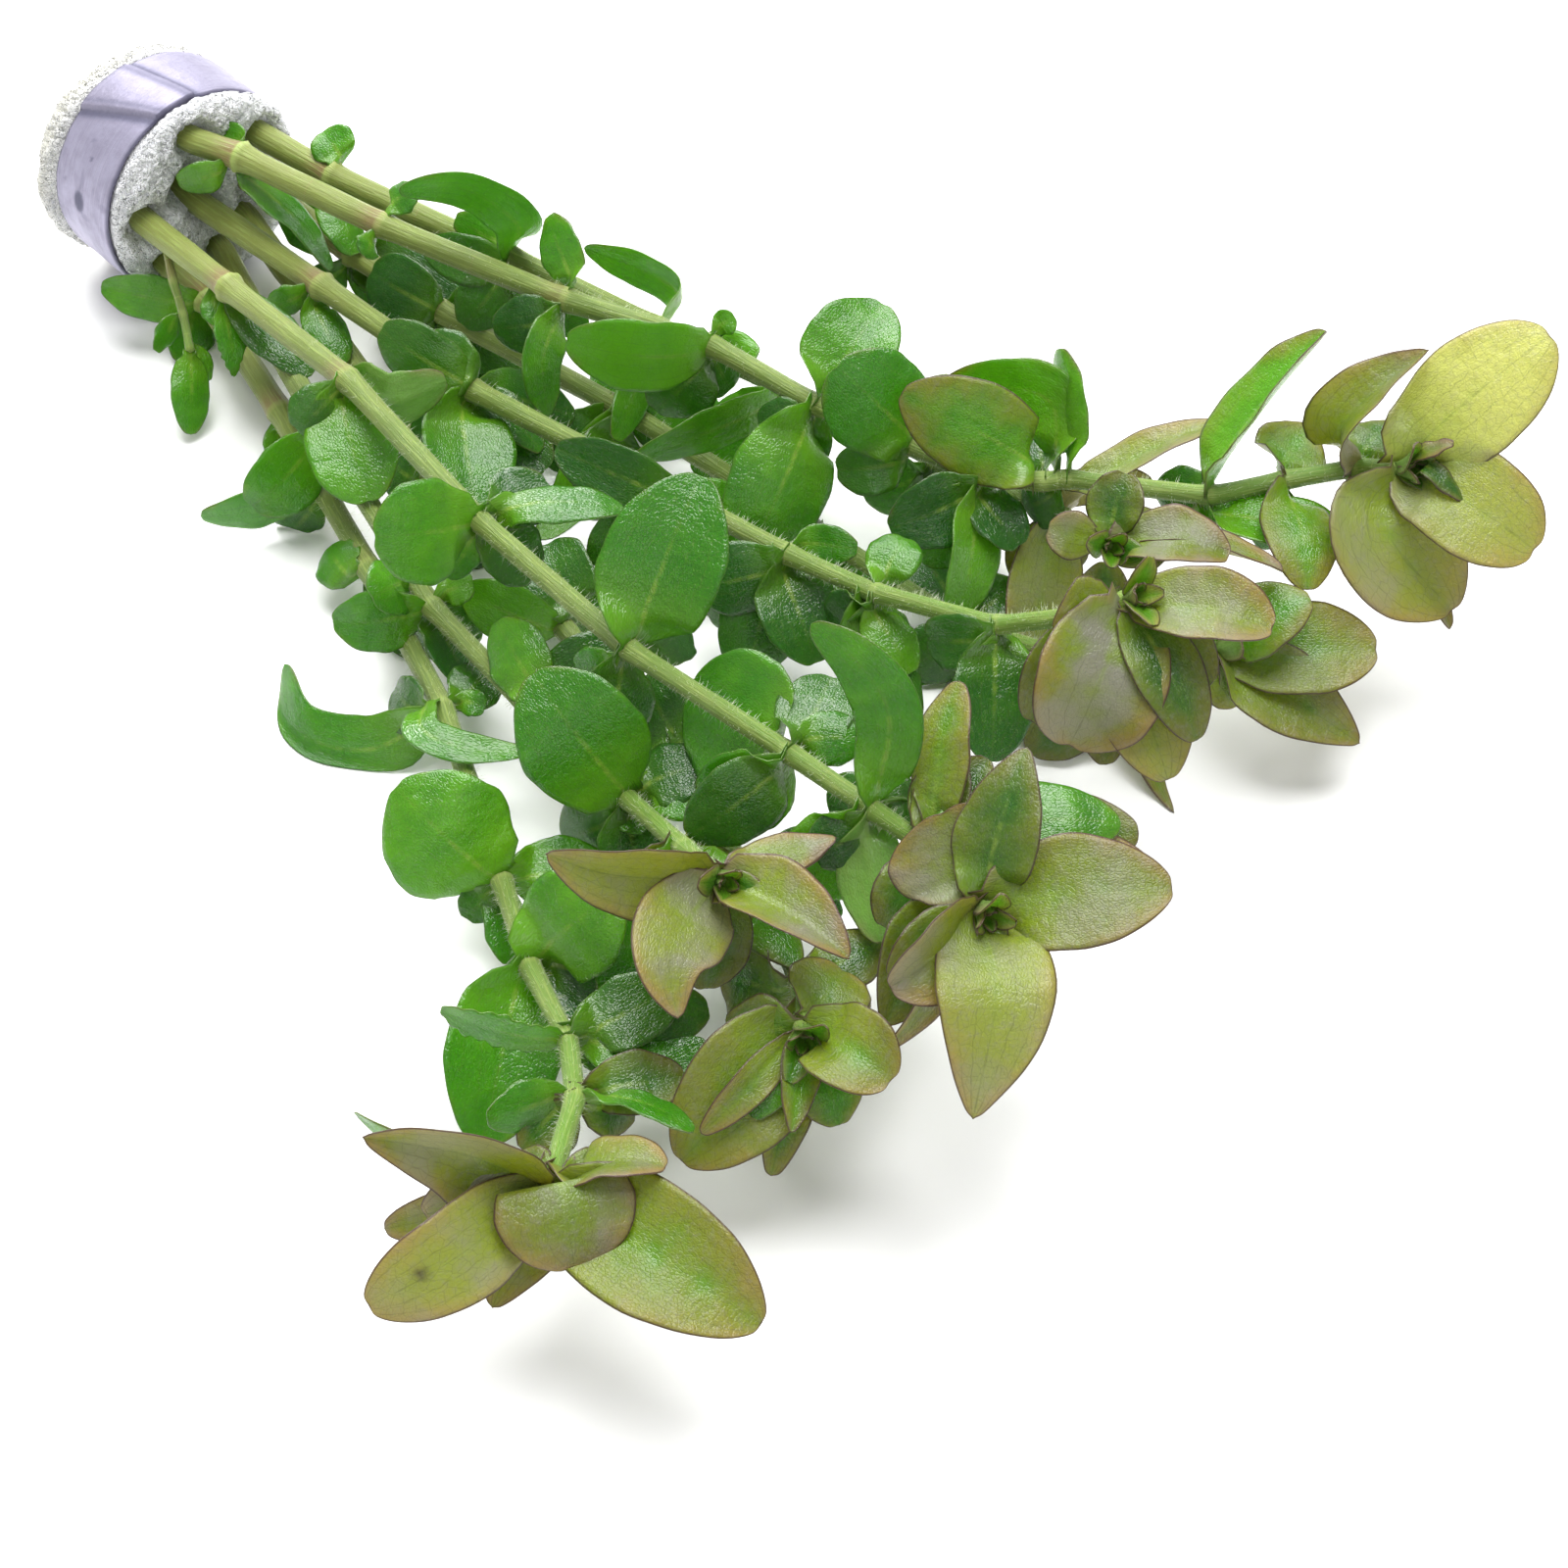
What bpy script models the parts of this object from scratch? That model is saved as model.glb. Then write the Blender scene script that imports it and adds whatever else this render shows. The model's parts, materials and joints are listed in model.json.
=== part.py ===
"""Lemon bacopa bunch: eight leafy stems held at their cut ends by foam and a wound lead strip.

The bunch lies on a flat surface. X runs along the lead band's axis toward the tips, Z is up,
and the origin is on the surface, under the middle of the band. Lengths are in millimetres
up to the last step, which writes metres.
"""
import itertools
import math
from dataclasses import dataclass

import bmesh
import bpy
import numpy as np
from mathutils.bvhtree import BVHTree

MM = 0.001

# Lead band and foam
BAND_RADIUS = 13.7
BAND_WIDTH = 10.5
BAND_WALL = 0.6
BAND_CENTRE = 13.5
FLAP_RISE = 0.5
FLAP_NEAR = (-16.0, 9.0)
FLAP_FAR = (-36.0, -2.0)
FOAM_GAP = 0.3
FOAM_RADIUS = BAND_RADIUS - BAND_WALL - FOAM_GAP
FOAM_FAR_X = -9.5
FOAM_FACE_X = 6.75
HOLLOW_CENTRE = (-2.2, 16.6)
HOLLOW_RADIUS = 2.6

# Stems and leaves
STEM_RADIUS_CUT = 1.75
STEM_RADIUS_TIP = 1.2
SHOOT_RADIUS = 0.5
STEM_END_X = -7.0
STEM_SIDES = 6
HOLE_SIDES = 8
JOINT_SWELL = 1.2
BUD_LENGTH = 2.6
LEAF_THICKNESS = 0.4
LEAF_FOOT = 0.2
LEAF_WIDEST = 0.45
LEAF_CUP = 0.12
LEAF_GAP = 0.35
CLEARANCE = 0.3
FLOOR_SOFTNESS = 1.2
OWN_AREA = 121.0
OWN_STATIONS = (0.0, 0.15, 0.4, 0.65, 0.88)
SMALL_STATIONS = (0.0, 0.3, 0.65)
FRAMES = 25
TRIALS = 420

# Plain colours that tell the pieces apart
LEAD_COLOUR = (0.45, 0.44, 0.52)
FOAM_COLOUR = (0.85, 0.84, 0.78)
STEM_COLOUR = (0.35, 0.42, 0.12)
LEAF_COLOUR = (0.12, 0.32, 0.06)

# The photograph's camera, which the places below are seen from
FOCAL_PX = 3000.0
PICTURE_MIDDLE_PX = 800.0
CAMERA_TILT = math.radians(51.4)
CAMERA_TURN = math.radians(46.1)
CAMERA_DISTANCE = 316.0
CAMERA_TARGET = np.array([112.5, -5.2, 0.0])
RIGHT = np.array([math.cos(CAMERA_TURN), math.sin(CAMERA_TURN), 0.0])
AWAY = np.array([-math.sin(CAMERA_TURN), math.cos(CAMERA_TURN), 0.0])
FORWARD = AWAY * math.cos(CAMERA_TILT) - np.array([0.0, 0.0, math.sin(CAMERA_TILT)])
UPWARD = AWAY * math.sin(CAMERA_TILT) + np.array([0.0, 0.0, math.cos(CAMERA_TILT)])
CAMERA = CAMERA_TARGET - FORWARD * CAMERA_DISTANCE

# Where each stem leaves the foam: sideways place and height
FOAM_HOLES = {
    1: (-0.7, 22.7), 2: (8.5, 18.4), 3: (-0.9, 12.8), 4: (-8.8, 14.8),
    5: (0.4, 5.2), 6: (-7.0, 7.2), 7: (4.9, 7.6), 8: (6.5, 12.4),
}

# Leaf joints along each stem: picture column, picture row, height above the surface
JOINTS = {
    1: [(245, 160, 22.3), (390, 230, 21), (577, 306, 19.5), (725, 352, 18.5), (833, 413, 18),
        (930, 455, 17.5), (1000, 486, 17.5), (1065, 492, 18), (1088, 488, 18), (1235, 506, 19),
        (1310, 490, 20), (1387, 477, 21.5), (1425, 478, 24)],
    2: [(340, 180, 17), (522, 263, 14.5), (672, 334, 12.5), (800, 396, 11), (950, 466, 11),
        (1085, 527, 13), (1129, 555, 22)],
    3: [(328, 292, 13), (481, 397, 13.5), (690, 505, 13.5), (804, 566, 14), (893, 605, 15),
        (1017, 638, 18), (1105, 628, 23), (1150, 612, 29)],
    4: [(233, 293, 17), (355, 388, 19.5), (490, 532, 21.5), (640, 662, 23), (805, 768, 24),
        (890, 826, 24.5), (950, 866, 25), (1000, 925, 29)],
    5: [(333, 443, 11), (440, 619, 9.5), (540, 722, 11), (640, 815, 14), (700, 868, 18),
        (733, 895, 23)],
    6: [(212, 305, 5.2), (287, 422, 4.5), (330, 500, 5), (376, 580, 6), (452, 722, 7),
        (512, 898, 9), (540, 985, 10.5), (580, 1062, 12.5), (587, 1120, 14), (560, 1213, 18)],
    7: [(440, 480, 5.5), (575, 640, 4.0), (690, 775, 8), (770, 905, 11), (815, 1000, 14.5),
        (820, 1050, 18)],
    8: [(360, 258, 9), (450, 318, 7), (640, 420, 5.5), (830, 540, 5.5), (985, 640, 6),
        (1120, 680, 7.5), (1240, 662, 13)],
}

# The side shoot near the foam grows from stem 4
SHOOT = [(168, 243, 15.2), (176, 285, 12.5), (187, 320, 10), (194, 358, 8)]
SHOOT_PARENT = 4


@dataclass(frozen=True)
class Leaf:
    """A leaf: where it grows, where its tip is seen, and its size and pose."""

    joint: int
    tip_px: tuple
    length: float
    width: float
    near: int = 1
    face: float = 0.0
    arch: float = 0.06
    via: tuple = ()


# Leaves of each stem: joint, tip's picture column and row, length, width, then what isn't usual
LEAVES = {
    1: [
        Leaf(13, (1583, 342), 21, 12, face=12, arch=0.08),
        Leaf(13, (1566, 572), 17, 11, face=15, arch=0.1),
        Leaf(13, (1483, 625), 16, 12.5, face=10, via=((1418, 548, 2.5),)),
        Leaf(5, (752, 585), 21, 11.5, face=15, arch=0.08),
        Leaf(6, (852, 372), 14, 11.5, arch=0.05),
        Leaf(8, (918, 398), 18.5, 10.5, face=10, arch=0.03),
        Leaf(12, (1457, 351), 16, 7, face=40, via=((1372, 432, 1),)),
        Leaf(10, (1353, 333), 22, 8, face=62, arch=0.0),
        Leaf(3, (556, 468), 18.5, 7.5, face=35, via=((548, 385, 3),)),
        Leaf(4, (575, 347), 18, 9, face=30, arch=0.1),
        Leaf(7, (968, 653), 17, 7, face=40, arch=0.08),
        Leaf(11, (1335, 605), 15, 8, face=25, arch=0.1),
        Leaf(5, (903, 305), 15, 10.5, near=-1, face=10, arch=0.05),
        Leaf(9, (1083, 352), 14.5, 7.5, face=62, arch=0.0),
        Leaf(9, (958, 394), 17, 7.5, near=-1, face=20, via=((1074, 412, 0), (1028, 395, 0))),
        Leaf(12, (1485, 643), 18, 6, near=-1, face=60, arch=0.1),
        Leaf(10, (1385, 562), 17.5, 7, near=-1, face=40, arch=0.1),
        Leaf(7, (938, 577), 12, 9, near=-1, face=20, arch=0.05),
        Leaf(1, (345, 275), 17.5, 6, near=-1, face=58),
        Leaf(11, (1338, 432), 9, 8, near=-1, face=10),
        Leaf(3, (560, 217), 11, 5.5, near=-1, face=30),
        Leaf(6, (975, 383), 8, 5.5, near=-1, face=10),
        Leaf(13, (1487, 455), 8, 2.5, face=50),
        Leaf(13, (1505, 503), 9.5, 3, face=50),
        Leaf(13, (1488, 537), 8.5, 2.5, face=40),
        Leaf(1, (178, 186), 8, 4, near=-1, face=20),
        Leaf(1, (226, 134), 5, 3.5, near=-1),
        Leaf(2, (428, 192), 6.5, 4, face=30),
        Leaf(2, (370, 262), 5, 3.5, face=30),
        Leaf(4, (751, 322), 4.5, 3, near=-1),
        Leaf(4, (776, 364), 5, 3.5, near=-1),
        Leaf(10, (1226, 548), 5, 4, near=-1),
    ],
    2: [
        Leaf(6, (1045, 702), 18.5, 8.5, face=20),
        Leaf(6, (1263, 421), 21, 6.5, near=-1, face=55, arch=0.04),
        Leaf(2, (405, 200), 21, 6, face=35, via=((528, 228, 2), (475, 194, 3))),
        Leaf(7, (1258, 568), 14, 7.5, face=45, arch=0.1),
        Leaf(7, (1310, 587), 18, 5.5, face=75, arch=0.08),
        Leaf(3, (591, 255), 16, 5, near=-1, face=35, via=((692, 298, 0), (650, 273, 0))),
        Leaf(6, (1181, 489), 12, 4.5, face=150),
        Leaf(3, (738, 470), 15, 8, near=-1, face=10),
        Leaf(4, (645, 465), 14, 6, near=-1, face=40),
        Leaf(4, (705, 485), 10, 8),
        Leaf(3, (625, 452), 11.5, 4.5, face=30),
        Leaf(7, (1066, 539), 7, 5),
        Leaf(1, (328, 132), 6.5, 5.5, near=-1),
        Leaf(2, (463, 222), 7, 4, near=-1, face=20),
        Leaf(1, (365, 262), 10, 5, near=-1, face=30),
    ],
    3: [
        Leaf(2, (488, 555), 18.5, 10.5, face=15),
        Leaf(8, (1090, 768), 17, 12.5, face=8, arch=0.12),
        Leaf(8, (1190, 797), 19, 10, face=10, arch=0.1),
        Leaf(8, (1303, 640), 16, 8, face=30, arch=0.08),
        Leaf(8, (1072, 645), 9.5, 8, face=10),
        Leaf(2, (556, 462), 11.5, 5.5, face=35, arch=0.1),
        Leaf(1, (350, 374), 9.5, 5, face=10),
        Leaf(6, (1008, 718), 9.5, 8, near=-1, face=10),
        Leaf(5, (932, 690), 10, 5.5, face=20),
        Leaf(3, (640, 590), 14, 9, near=-1, face=20),
        Leaf(3, (770, 560), 12, 9, near=-1, face=20),
        Leaf(4, (790, 640), 9, 7, near=-1, face=10),
        Leaf(5, (925, 545), 8, 6, near=-1, face=20),
        Leaf(4, (878, 560), 7, 4.5, face=10),
        Leaf(1, (272, 312), 6, 4, face=30),
    ],
    4: [
        Leaf(8, (992, 1146), 21, 10.5, face=5, via=((1016, 1018, 2.5),)),
        Leaf(8, (1200, 905), 18.5, 10.5, face=15, arch=0.06),
        Leaf(8, (960, 826), 10, 13, near=-1, face=10, arch=-0.05),
        Leaf(8, (905, 1010), 13, 8, face=35, arch=0.1),
        Leaf(4, (716, 482), 20, 12.5, face=8),
        Leaf(3, (379, 548), 13, 11, face=10, arch=0.1),
        Leaf(6, (826, 633), 21, 6.5, face=20, via=((908, 735, 2), (878, 678, 2))),
        Leaf(2, (456, 385), 12, 6.5, face=150, via=((402, 409, 2),)),
        Leaf(5, (705, 700), 14.5, 14, near=-1, face=10, arch=0.05),
        Leaf(2, (376, 515), 14, 10, near=-1, face=10),
        Leaf(7, (1150, 838), 19, 8.5, near=-1, face=20, arch=0.12),
        Leaf(7, (976, 688), 17, 6, near=-1, face=30, arch=0.05),
        Leaf(3, (640, 521), 16, 5.5, near=-1, face=45, arch=0.08),
        Leaf(6, (903, 966), 12, 7, face=165, arch=0.05),
        Leaf(6, (812, 915), 13, 9, near=-1, face=10),
        Leaf(8, (898, 1088), 17.5, 5, face=60),
        Leaf(5, (715, 820), 13, 9, near=-1, face=20),
        Leaf(7, (1176, 880), 21, 6, near=-1, face=20),
        Leaf(5, (888, 752), 8.5, 5.5, near=-1, face=10),
        Leaf(4, (583, 680), 7, 4.5, near=-1, face=20),
        Leaf(1, (240, 388), 9, 4, face=20),
        Leaf(1, (224, 334), 5, 3.5, face=10),
        Leaf(3, (453, 592), 8, 4, near=-1, face=30),
    ],
    5: [
        Leaf(1, (255, 517), 12, 8, face=20),
        Leaf(6, (550, 875), 18, 8, face=35, arch=0.08),
        Leaf(6, (868, 983), 17, 7.5, face=30, arch=0.1),
        Leaf(6, (695, 1042), 16.5, 9, face=10, via=((684, 975, 2),)),
        Leaf(6, (857, 852), 13, 5, near=-1, face=30, arch=0.0),
        Leaf(4, (540, 683), 17.5, 12.5, face=8, arch=0.1),
        Leaf(2, (335, 637), 12, 7, near=-1, face=30),
        Leaf(4, (755, 818), 12, 6.5, face=35),
        Leaf(5, (820, 985), 14, 7, near=-1, face=30),
        Leaf(5, (622, 1035), 17, 9, near=-1, face=20),
        Leaf(2, (378, 610), 9, 6.5, face=10),
        Leaf(1, (345, 555), 11, 7, near=-1, face=20),
        Leaf(3, (508, 632), 11, 7, near=-1, face=20),
        Leaf(6, (690, 915), 5, 4, face=20),
        Leaf(2, (485, 595), 6, 4, face=20),
        Leaf(4, (660, 850), 5, 4, face=10),
    ],
    6: [
        Leaf(10, (780, 1350), 24, 11.5, face=5, arch=0.08),
        Leaf(10, (590, 1328), 11, 12, face=5, arch=0.12),
        Leaf(10, (372, 1338), 21, 8.5, face=15, arch=0.12),
        Leaf(10, (365, 1167), 19, 8.5, face=45, via=((465, 1175, 2),)),
        Leaf(10, (683, 1192), 12, 7.5, face=45, arch=0.1),
        Leaf(10, (432, 1265), 12.5, 7, face=20, arch=0.12),
        Leaf(10, (500, 1338), 14, 8, near=-1, face=0),
        Leaf(6, (400, 800), 15.5, 13.5, face=8, arch=0.08),
        Leaf(7, (630, 908), 13, 11, face=10, arch=0.1),
        Leaf(7, (490, 1172), 19, 11.5, near=-1, face=10, arch=0.05),
        Leaf(5, (290, 675), 22, 7.5, near=-1, face=25, via=((375, 765, 0), (305, 745, 0))),
        Leaf(5, (548, 766), 14, 4, face=30, via=((430, 745, 3), (480, 765, 2))),
        Leaf(8, (725, 1062), 14, 5, near=-1, face=30, via=((662, 1084, 1),)),
        Leaf(3, (202, 525), 15, 5.5, near=-1, face=45),
        Leaf(8, (447, 1026), 14, 5, face=50),
        Leaf(1, (100, 292), 13, 5.5, face=10, arch=0.05),
        Leaf(9, (712, 1153), 13, 4, face=60),
        Leaf(9, (493, 1143), 9.5, 5, face=30),
        Leaf(6, (630, 890), 12.5, 8, near=-1, face=20),
        Leaf(10, (388, 1255), 17, 5, near=-1, face=10),
        Leaf(10, (357, 1135), 21, 4, near=-1, face=60),
        Leaf(6, (522, 987), 9.5, 4.5, near=-1, face=20),
        Leaf(7, (612, 1020), 9, 6, near=-1, face=30),
        Leaf(1, (188, 378), 8, 6, face=20),
        Leaf(2, (285, 470), 6, 4, near=-1, face=20),
        Leaf(4, (335, 555), 8, 6, near=-1, face=20),
        Leaf(4, (450, 640), 8, 5, face=20),
        Leaf(5, (497, 722), 5, 3, face=10),
    ],
    7: [
        Leaf(6, (766, 1143), 10, 4.5),
        Leaf(6, (692, 1188), 17.5, 11, face=10, arch=0.1),
        Leaf(6, (912, 1105), 12, 8, face=15, arch=0.12),
        Leaf(6, (862, 988), 8.5, 8, near=-1, face=10),
        Leaf(6, (785, 1203), 14.5, 5, face=20),
        Leaf(6, (713, 1158), 12.5, 3.5, face=10, arch=0.1),
        Leaf(6, (858, 1152), 11, 7.5, near=-1, face=15),
        Leaf(6, (806, 1160), 11, 4, near=-1, face=20),
        Leaf(2, (470, 600), 10, 7, near=-1, face=20),
        Leaf(3, (760, 830), 13, 8, near=-1, face=20),
        Leaf(4, (640, 960), 12, 8, near=-1, face=20),
    ],
    8: [
        Leaf(7, (1408, 662), 17, 10, face=15, arch=0.06),
        Leaf(7, (1392, 760), 18, 9, face=20, arch=0.08),
        Leaf(5, (1118, 770), 18, 8, near=-1, face=20),
        Leaf(6, (1202, 847), 18, 3.5, face=50),
        Leaf(1, (508, 352), 18, 8, face=15),
        Leaf(2, (545, 385), 12, 7, face=10),
        Leaf(7, (1268, 722), 8, 6, near=-1, face=10),
        Leaf(4, (880, 640), 12, 8, near=-1, face=20),
        Leaf(5, (960, 720), 11, 8, near=-1, face=20),
        Leaf(7, (1340, 612), 12, 8, near=-1, face=20),
        Leaf(3, (610, 370), 12, 7, near=-1, face=20),
        Leaf(3, (560, 600), 14, 8, face=20),
        Leaf(4, (720, 560), 12, 8, near=-1, face=20),
    ],
    "shoot": [
        Leaf(3, (194, 446), 10, 4.8, face=20),
        Leaf(2, (157, 360), 6, 3, face=40),
        Leaf(3, (213, 392), 5, 3, near=-1, face=20),
    ],
}


def unit(vector):
    """Return the vector at length one."""
    return np.asarray(vector, float) / np.linalg.norm(vector)


def sight(column, row):
    """Return the direction from the camera through a point of the picture."""
    across = (column - PICTURE_MIDDLE_PX) / FOCAL_PX
    down = (row - PICTURE_MIDDLE_PX) / FOCAL_PX
    return unit(FORWARD + RIGHT * across - UPWARD * down)


def at_height(column, row, height):
    """Return the place seen at a point of the picture, at a height above the surface."""
    line = sight(column, row)
    return CAMERA + line * (height - CAMERA[2]) / line[2]


def beside(column, row, place, nearer):
    """Return the place on a line of sight level with another place, moved nearer by some mm."""
    line = sight(column, row)
    return CAMERA + line * ((place - CAMERA) @ line - nearer)


def spline(points, steps):
    """Return a smooth curve through the points, with so many steps in each stretch."""
    ends = [2 * points[0] - points[1]] + list(points) + [2 * points[-1] - points[-2]]
    curve = []
    for a, b, c, d in zip(ends, ends[1:], ends[2:], ends[3:]):
        for step in range(steps):
            t = step / steps
            bend = (2 * a - 5 * b + 4 * c - d) * t ** 2 + (3 * b - a - 3 * c + d) * t ** 3
            curve.append(0.5 * (2 * b + (c - a) * t + bend))
    curve.append(points[-1])
    return curve


def stem_joints(name):
    """Return the joints of a stem, from the foam's face to its tip."""
    if name == "shoot":
        return [at_height(*place) for place in SHOOT]
    sideways, height = FOAM_HOLES[name]
    return [np.array([FOAM_FACE_X, sideways, height])] + [at_height(*place) for place in JOINTS[name]]


def stem_radius(name, joint):
    """Return a stem's radius at a joint."""
    if name == "shoot":
        return SHOOT_RADIUS
    places = stem_joints(name)
    reach = [0.0]
    for a, b in zip(places, places[1:]):
        reach.append(reach[-1] + np.linalg.norm(b - a))
    return STEM_RADIUS_CUT + (STEM_RADIUS_TIP - STEM_RADIUS_CUT) * reach[joint] / reach[-1]


def stem_axis(name, joint):
    """Return the direction in which a stem grows at a joint."""
    places = stem_joints(name)
    return unit(places[min(joint + 1, len(places) - 1)] - places[max(joint - 1, 0)])


def leaf_width(s):
    """Return a leaf's width at a part of its length, as a part of its greatest width."""
    if s < LEAF_WIDEST:
        return LEAF_FOOT + (1 - LEAF_FOOT) * math.sin(math.pi / 2 * s / LEAF_WIDEST) ** 1.1
    return math.sqrt(max(0.0, 1 - ((s - LEAF_WIDEST) / (1 - LEAF_WIDEST)) ** 2.3))


def above_floor(point, half_thickness):
    """Return the point laid on the surface softly where it would pass below it."""
    height = point[2] - half_thickness
    if height < FLOOR_SOFTNESS:
        height = FLOOR_SOFTNESS * math.exp((height - FLOOR_SOFTNESS) / FLOOR_SOFTNESS)
    return np.array([point[0], point[1], height + half_thickness])


class LeafShape:
    """A leaf's midrib and the way its blade turns, in the pose of one trial."""

    def __init__(self, stem, leaf, trial):
        nearer, turn, lift, lower, size = trial
        places = stem_joints(stem)
        axis = stem_axis(stem, leaf.joint)
        root = places[leaf.joint] - axis * lower
        length = leaf.length * size
        tip = self.find_tip(root, leaf, length * 0.96, nearer)
        if size < 1.0:
            tip = root + (self.find_tip(root, leaf, leaf.length * 0.96, nearer) - root) * size
        chord = tip - root
        lean = chord
        if leaf.via:
            lean = beside(*leaf.via[0][:2], (tip + root) / 2, leaf.via[0][2]) - root
        hold = 0.3 if leaf.joint == len(places) - 1 else 1.0
        out = lean - axis * (lean @ axis) * hold
        if np.linalg.norm(out) < 0.25 * np.linalg.norm(chord):
            out = out + unit(CAMERA - root) * 0.2 * np.linalg.norm(chord)
        self.out = unit(out)
        self.root = root
        self.axis = axis
        self.base = root + self.out * (stem_radius(stem, leaf.joint) * JOINT_SWELL + LEAF_GAP)
        self.width = leaf.width * size
        self.turn = math.radians(leaf.face + turn)
        if leaf.via:
            self.curve = self.curve_by_points(leaf, tip, size)
        else:
            self.curve = self.curve_by_arch(tip, (leaf.arch + lift) * length, length)
        self.set_frames()

    @staticmethod
    def find_tip(root, leaf, reach, nearer):
        """Return the place on the tip's line of sight that is as far from the root as the leaf is long."""
        line = sight(*leaf.tip_px)
        offset = (CAMERA - root) @ line
        spare = offset ** 2 - (CAMERA - root) @ (CAMERA - root) + reach ** 2
        distance = -offset - leaf.near * math.sqrt(max(0.0, spare))
        return CAMERA + line * (distance - nearer)

    def curve_by_points(self, leaf, tip, size):
        """Return a midrib that passes the picture points given for it."""
        points = [self.base]
        for number, (column, row, nearer) in enumerate(leaf.via, 1):
            share = number / (len(leaf.via) + 1)
            place = beside(column, row, self.base + (tip - self.base) * share, nearer)
            points.append(self.base + (place - self.base) * size)
        return np.array(spline(points + [tip], 12))

    def curve_by_arch(self, tip, bow, length):
        """Return a midrib that leaves the stem outward and arches to its tip."""
        chord = tip - self.base
        across = unit(np.cross(chord, CAMERA - (tip + self.base) / 2))
        upright = unit(np.cross(across, chord))
        face = upright * math.cos(self.turn) - across * math.sin(self.turn)
        first = self.base + chord * 0.28 + face * bow * 4 / 3 + self.out * length * 0.05
        second = self.base + chord * 0.70 + face * bow * 4 / 3
        t = np.linspace(0, 1, FRAMES)[:, None]
        return (self.base * (1 - t) ** 3 + first * 3 * t * (1 - t) ** 2
                + second * 3 * t ** 2 * (1 - t) + tip * t ** 3)

    def set_frames(self):
        """Find the direction along the midrib and across the blade at even steps."""
        reach = np.concatenate([[0.0], np.cumsum(np.linalg.norm(np.diff(self.curve, axis=0), axis=1))])
        even = np.linspace(0, reach[-1], FRAMES)
        self.curve = np.stack([np.interp(even, reach, self.curve[:, k]) for k in range(3)], axis=1)
        along = np.gradient(self.curve, axis=0)
        self.along = along / np.linalg.norm(along, axis=1)[:, None]
        middle = FRAMES // 2
        across = unit(np.cross(self.along[middle], CAMERA - self.curve[middle]))
        upright = np.cross(across, self.along[middle])
        sides = [None] * FRAMES
        sides[middle] = across * math.cos(self.turn) + upright * math.sin(self.turn)
        for step in list(range(middle + 1, FRAMES)) + list(range(middle - 1, -1, -1)):
            before = sides[step - 1] if step > middle else sides[step + 1]
            sides[step] = unit(before - self.along[step] * (before @ self.along[step]))
        clasp = np.cross(self.axis, self.out)
        for step in range(FRAMES):
            share = max(0.0, 1 - step / (FRAMES - 1) / 0.3)
            share = share * share * (3 - 2 * share)
            towards = clasp if clasp @ sides[step] >= 0 else -clasp
            side = sides[step] * (1 - share) + towards * share
            sides[step] = unit(side - self.along[step] * (side @ self.along[step]))
        self.sides = np.array(sides)

    def at(self, s):
        """Return the midrib's place, the direction across and the upper side's normal at s."""
        step = min(FRAMES - 1, max(0.0, s * (FRAMES - 1)))
        low = min(FRAMES - 2, int(step))
        share = step - low
        place = self.curve[low] * (1 - share) + self.curve[low + 1] * share
        side = unit(self.sides[low] * (1 - share) + self.sides[low + 1] * share)
        along = unit(self.along[low] * (1 - share) + self.along[low + 1] * share)
        return place, side, np.cross(side, along)

    def solid(self, stations, grow=0.0, foot=False):
        """Return vertices and faces of a thin blade, or of a larger blade that tests its clearance."""
        corners = []
        half = LEAF_THICKNESS / 2 + grow
        if foot:
            side = self.at(0)[1]
            up = np.cross(side, self.out)
            reach = self.width * LEAF_FOOT / 2
            inside = self.root + self.out * 0.2
            corners += [inside + side * reach, inside + up * half, inside - side * reach, inside - up * half]
        for s in stations:
            place, side, up = self.at(s)
            reach = self.width * leaf_width(s) / 2 + grow
            middle = above_floor(place, half)
            left = above_floor(place + side * reach + up * reach * LEAF_CUP, 0.0)
            right = above_floor(place - side * reach + up * reach * LEAF_CUP, 0.0)
            corners += [left, middle + up * half, right, middle - up * half]
        tip = above_floor(self.at(1)[0] + self.along[-1] * grow, 0.0)
        faces = [(3, 2, 1, 0)]
        for ring in range(0, len(corners) - 4, 4):
            for side in range(4):
                after = (side + 1) % 4
                faces.append((ring + side, ring + after, ring + 4 + after, ring + 4 + side))
        last = len(corners) - 4
        for side in range(4):
            faces.append((last + side, last + (side + 1) % 4, len(corners)))
        return np.array(corners + [tip]), faces


def tube(places, radii, sides, point=None):
    """Return vertices and faces of a tube round the places, closed flat or with a point."""
    corners = []
    side = np.array([0.0, 0.0, 1.0])
    for number, (place, radius) in enumerate(zip(places, radii)):
        along = unit(places[min(number + 1, len(places) - 1)] - places[max(number - 1, 0)])
        side = unit(side - along * (side @ along))
        across = np.cross(along, side)
        for step in range(sides):
            angle = 2 * math.pi * step / sides
            corners.append(place + (side * math.cos(angle) + across * math.sin(angle)) * radius)
    faces = [tuple(reversed(range(sides)))]
    for ring in range(0, sides * (len(places) - 1), sides):
        for step in range(sides):
            after = (step + 1) % sides
            faces.append((ring + step, ring + after, ring + sides + after, ring + sides + step))
    last = sides * (len(places) - 1)
    if point is None:
        faces.append(tuple(range(last, last + sides)))
        return np.array(corners), faces
    for step in range(sides):
        faces.append((last + step, last + (step + 1) % sides, len(corners)))
    return np.array(corners + [point]), faces


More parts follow.
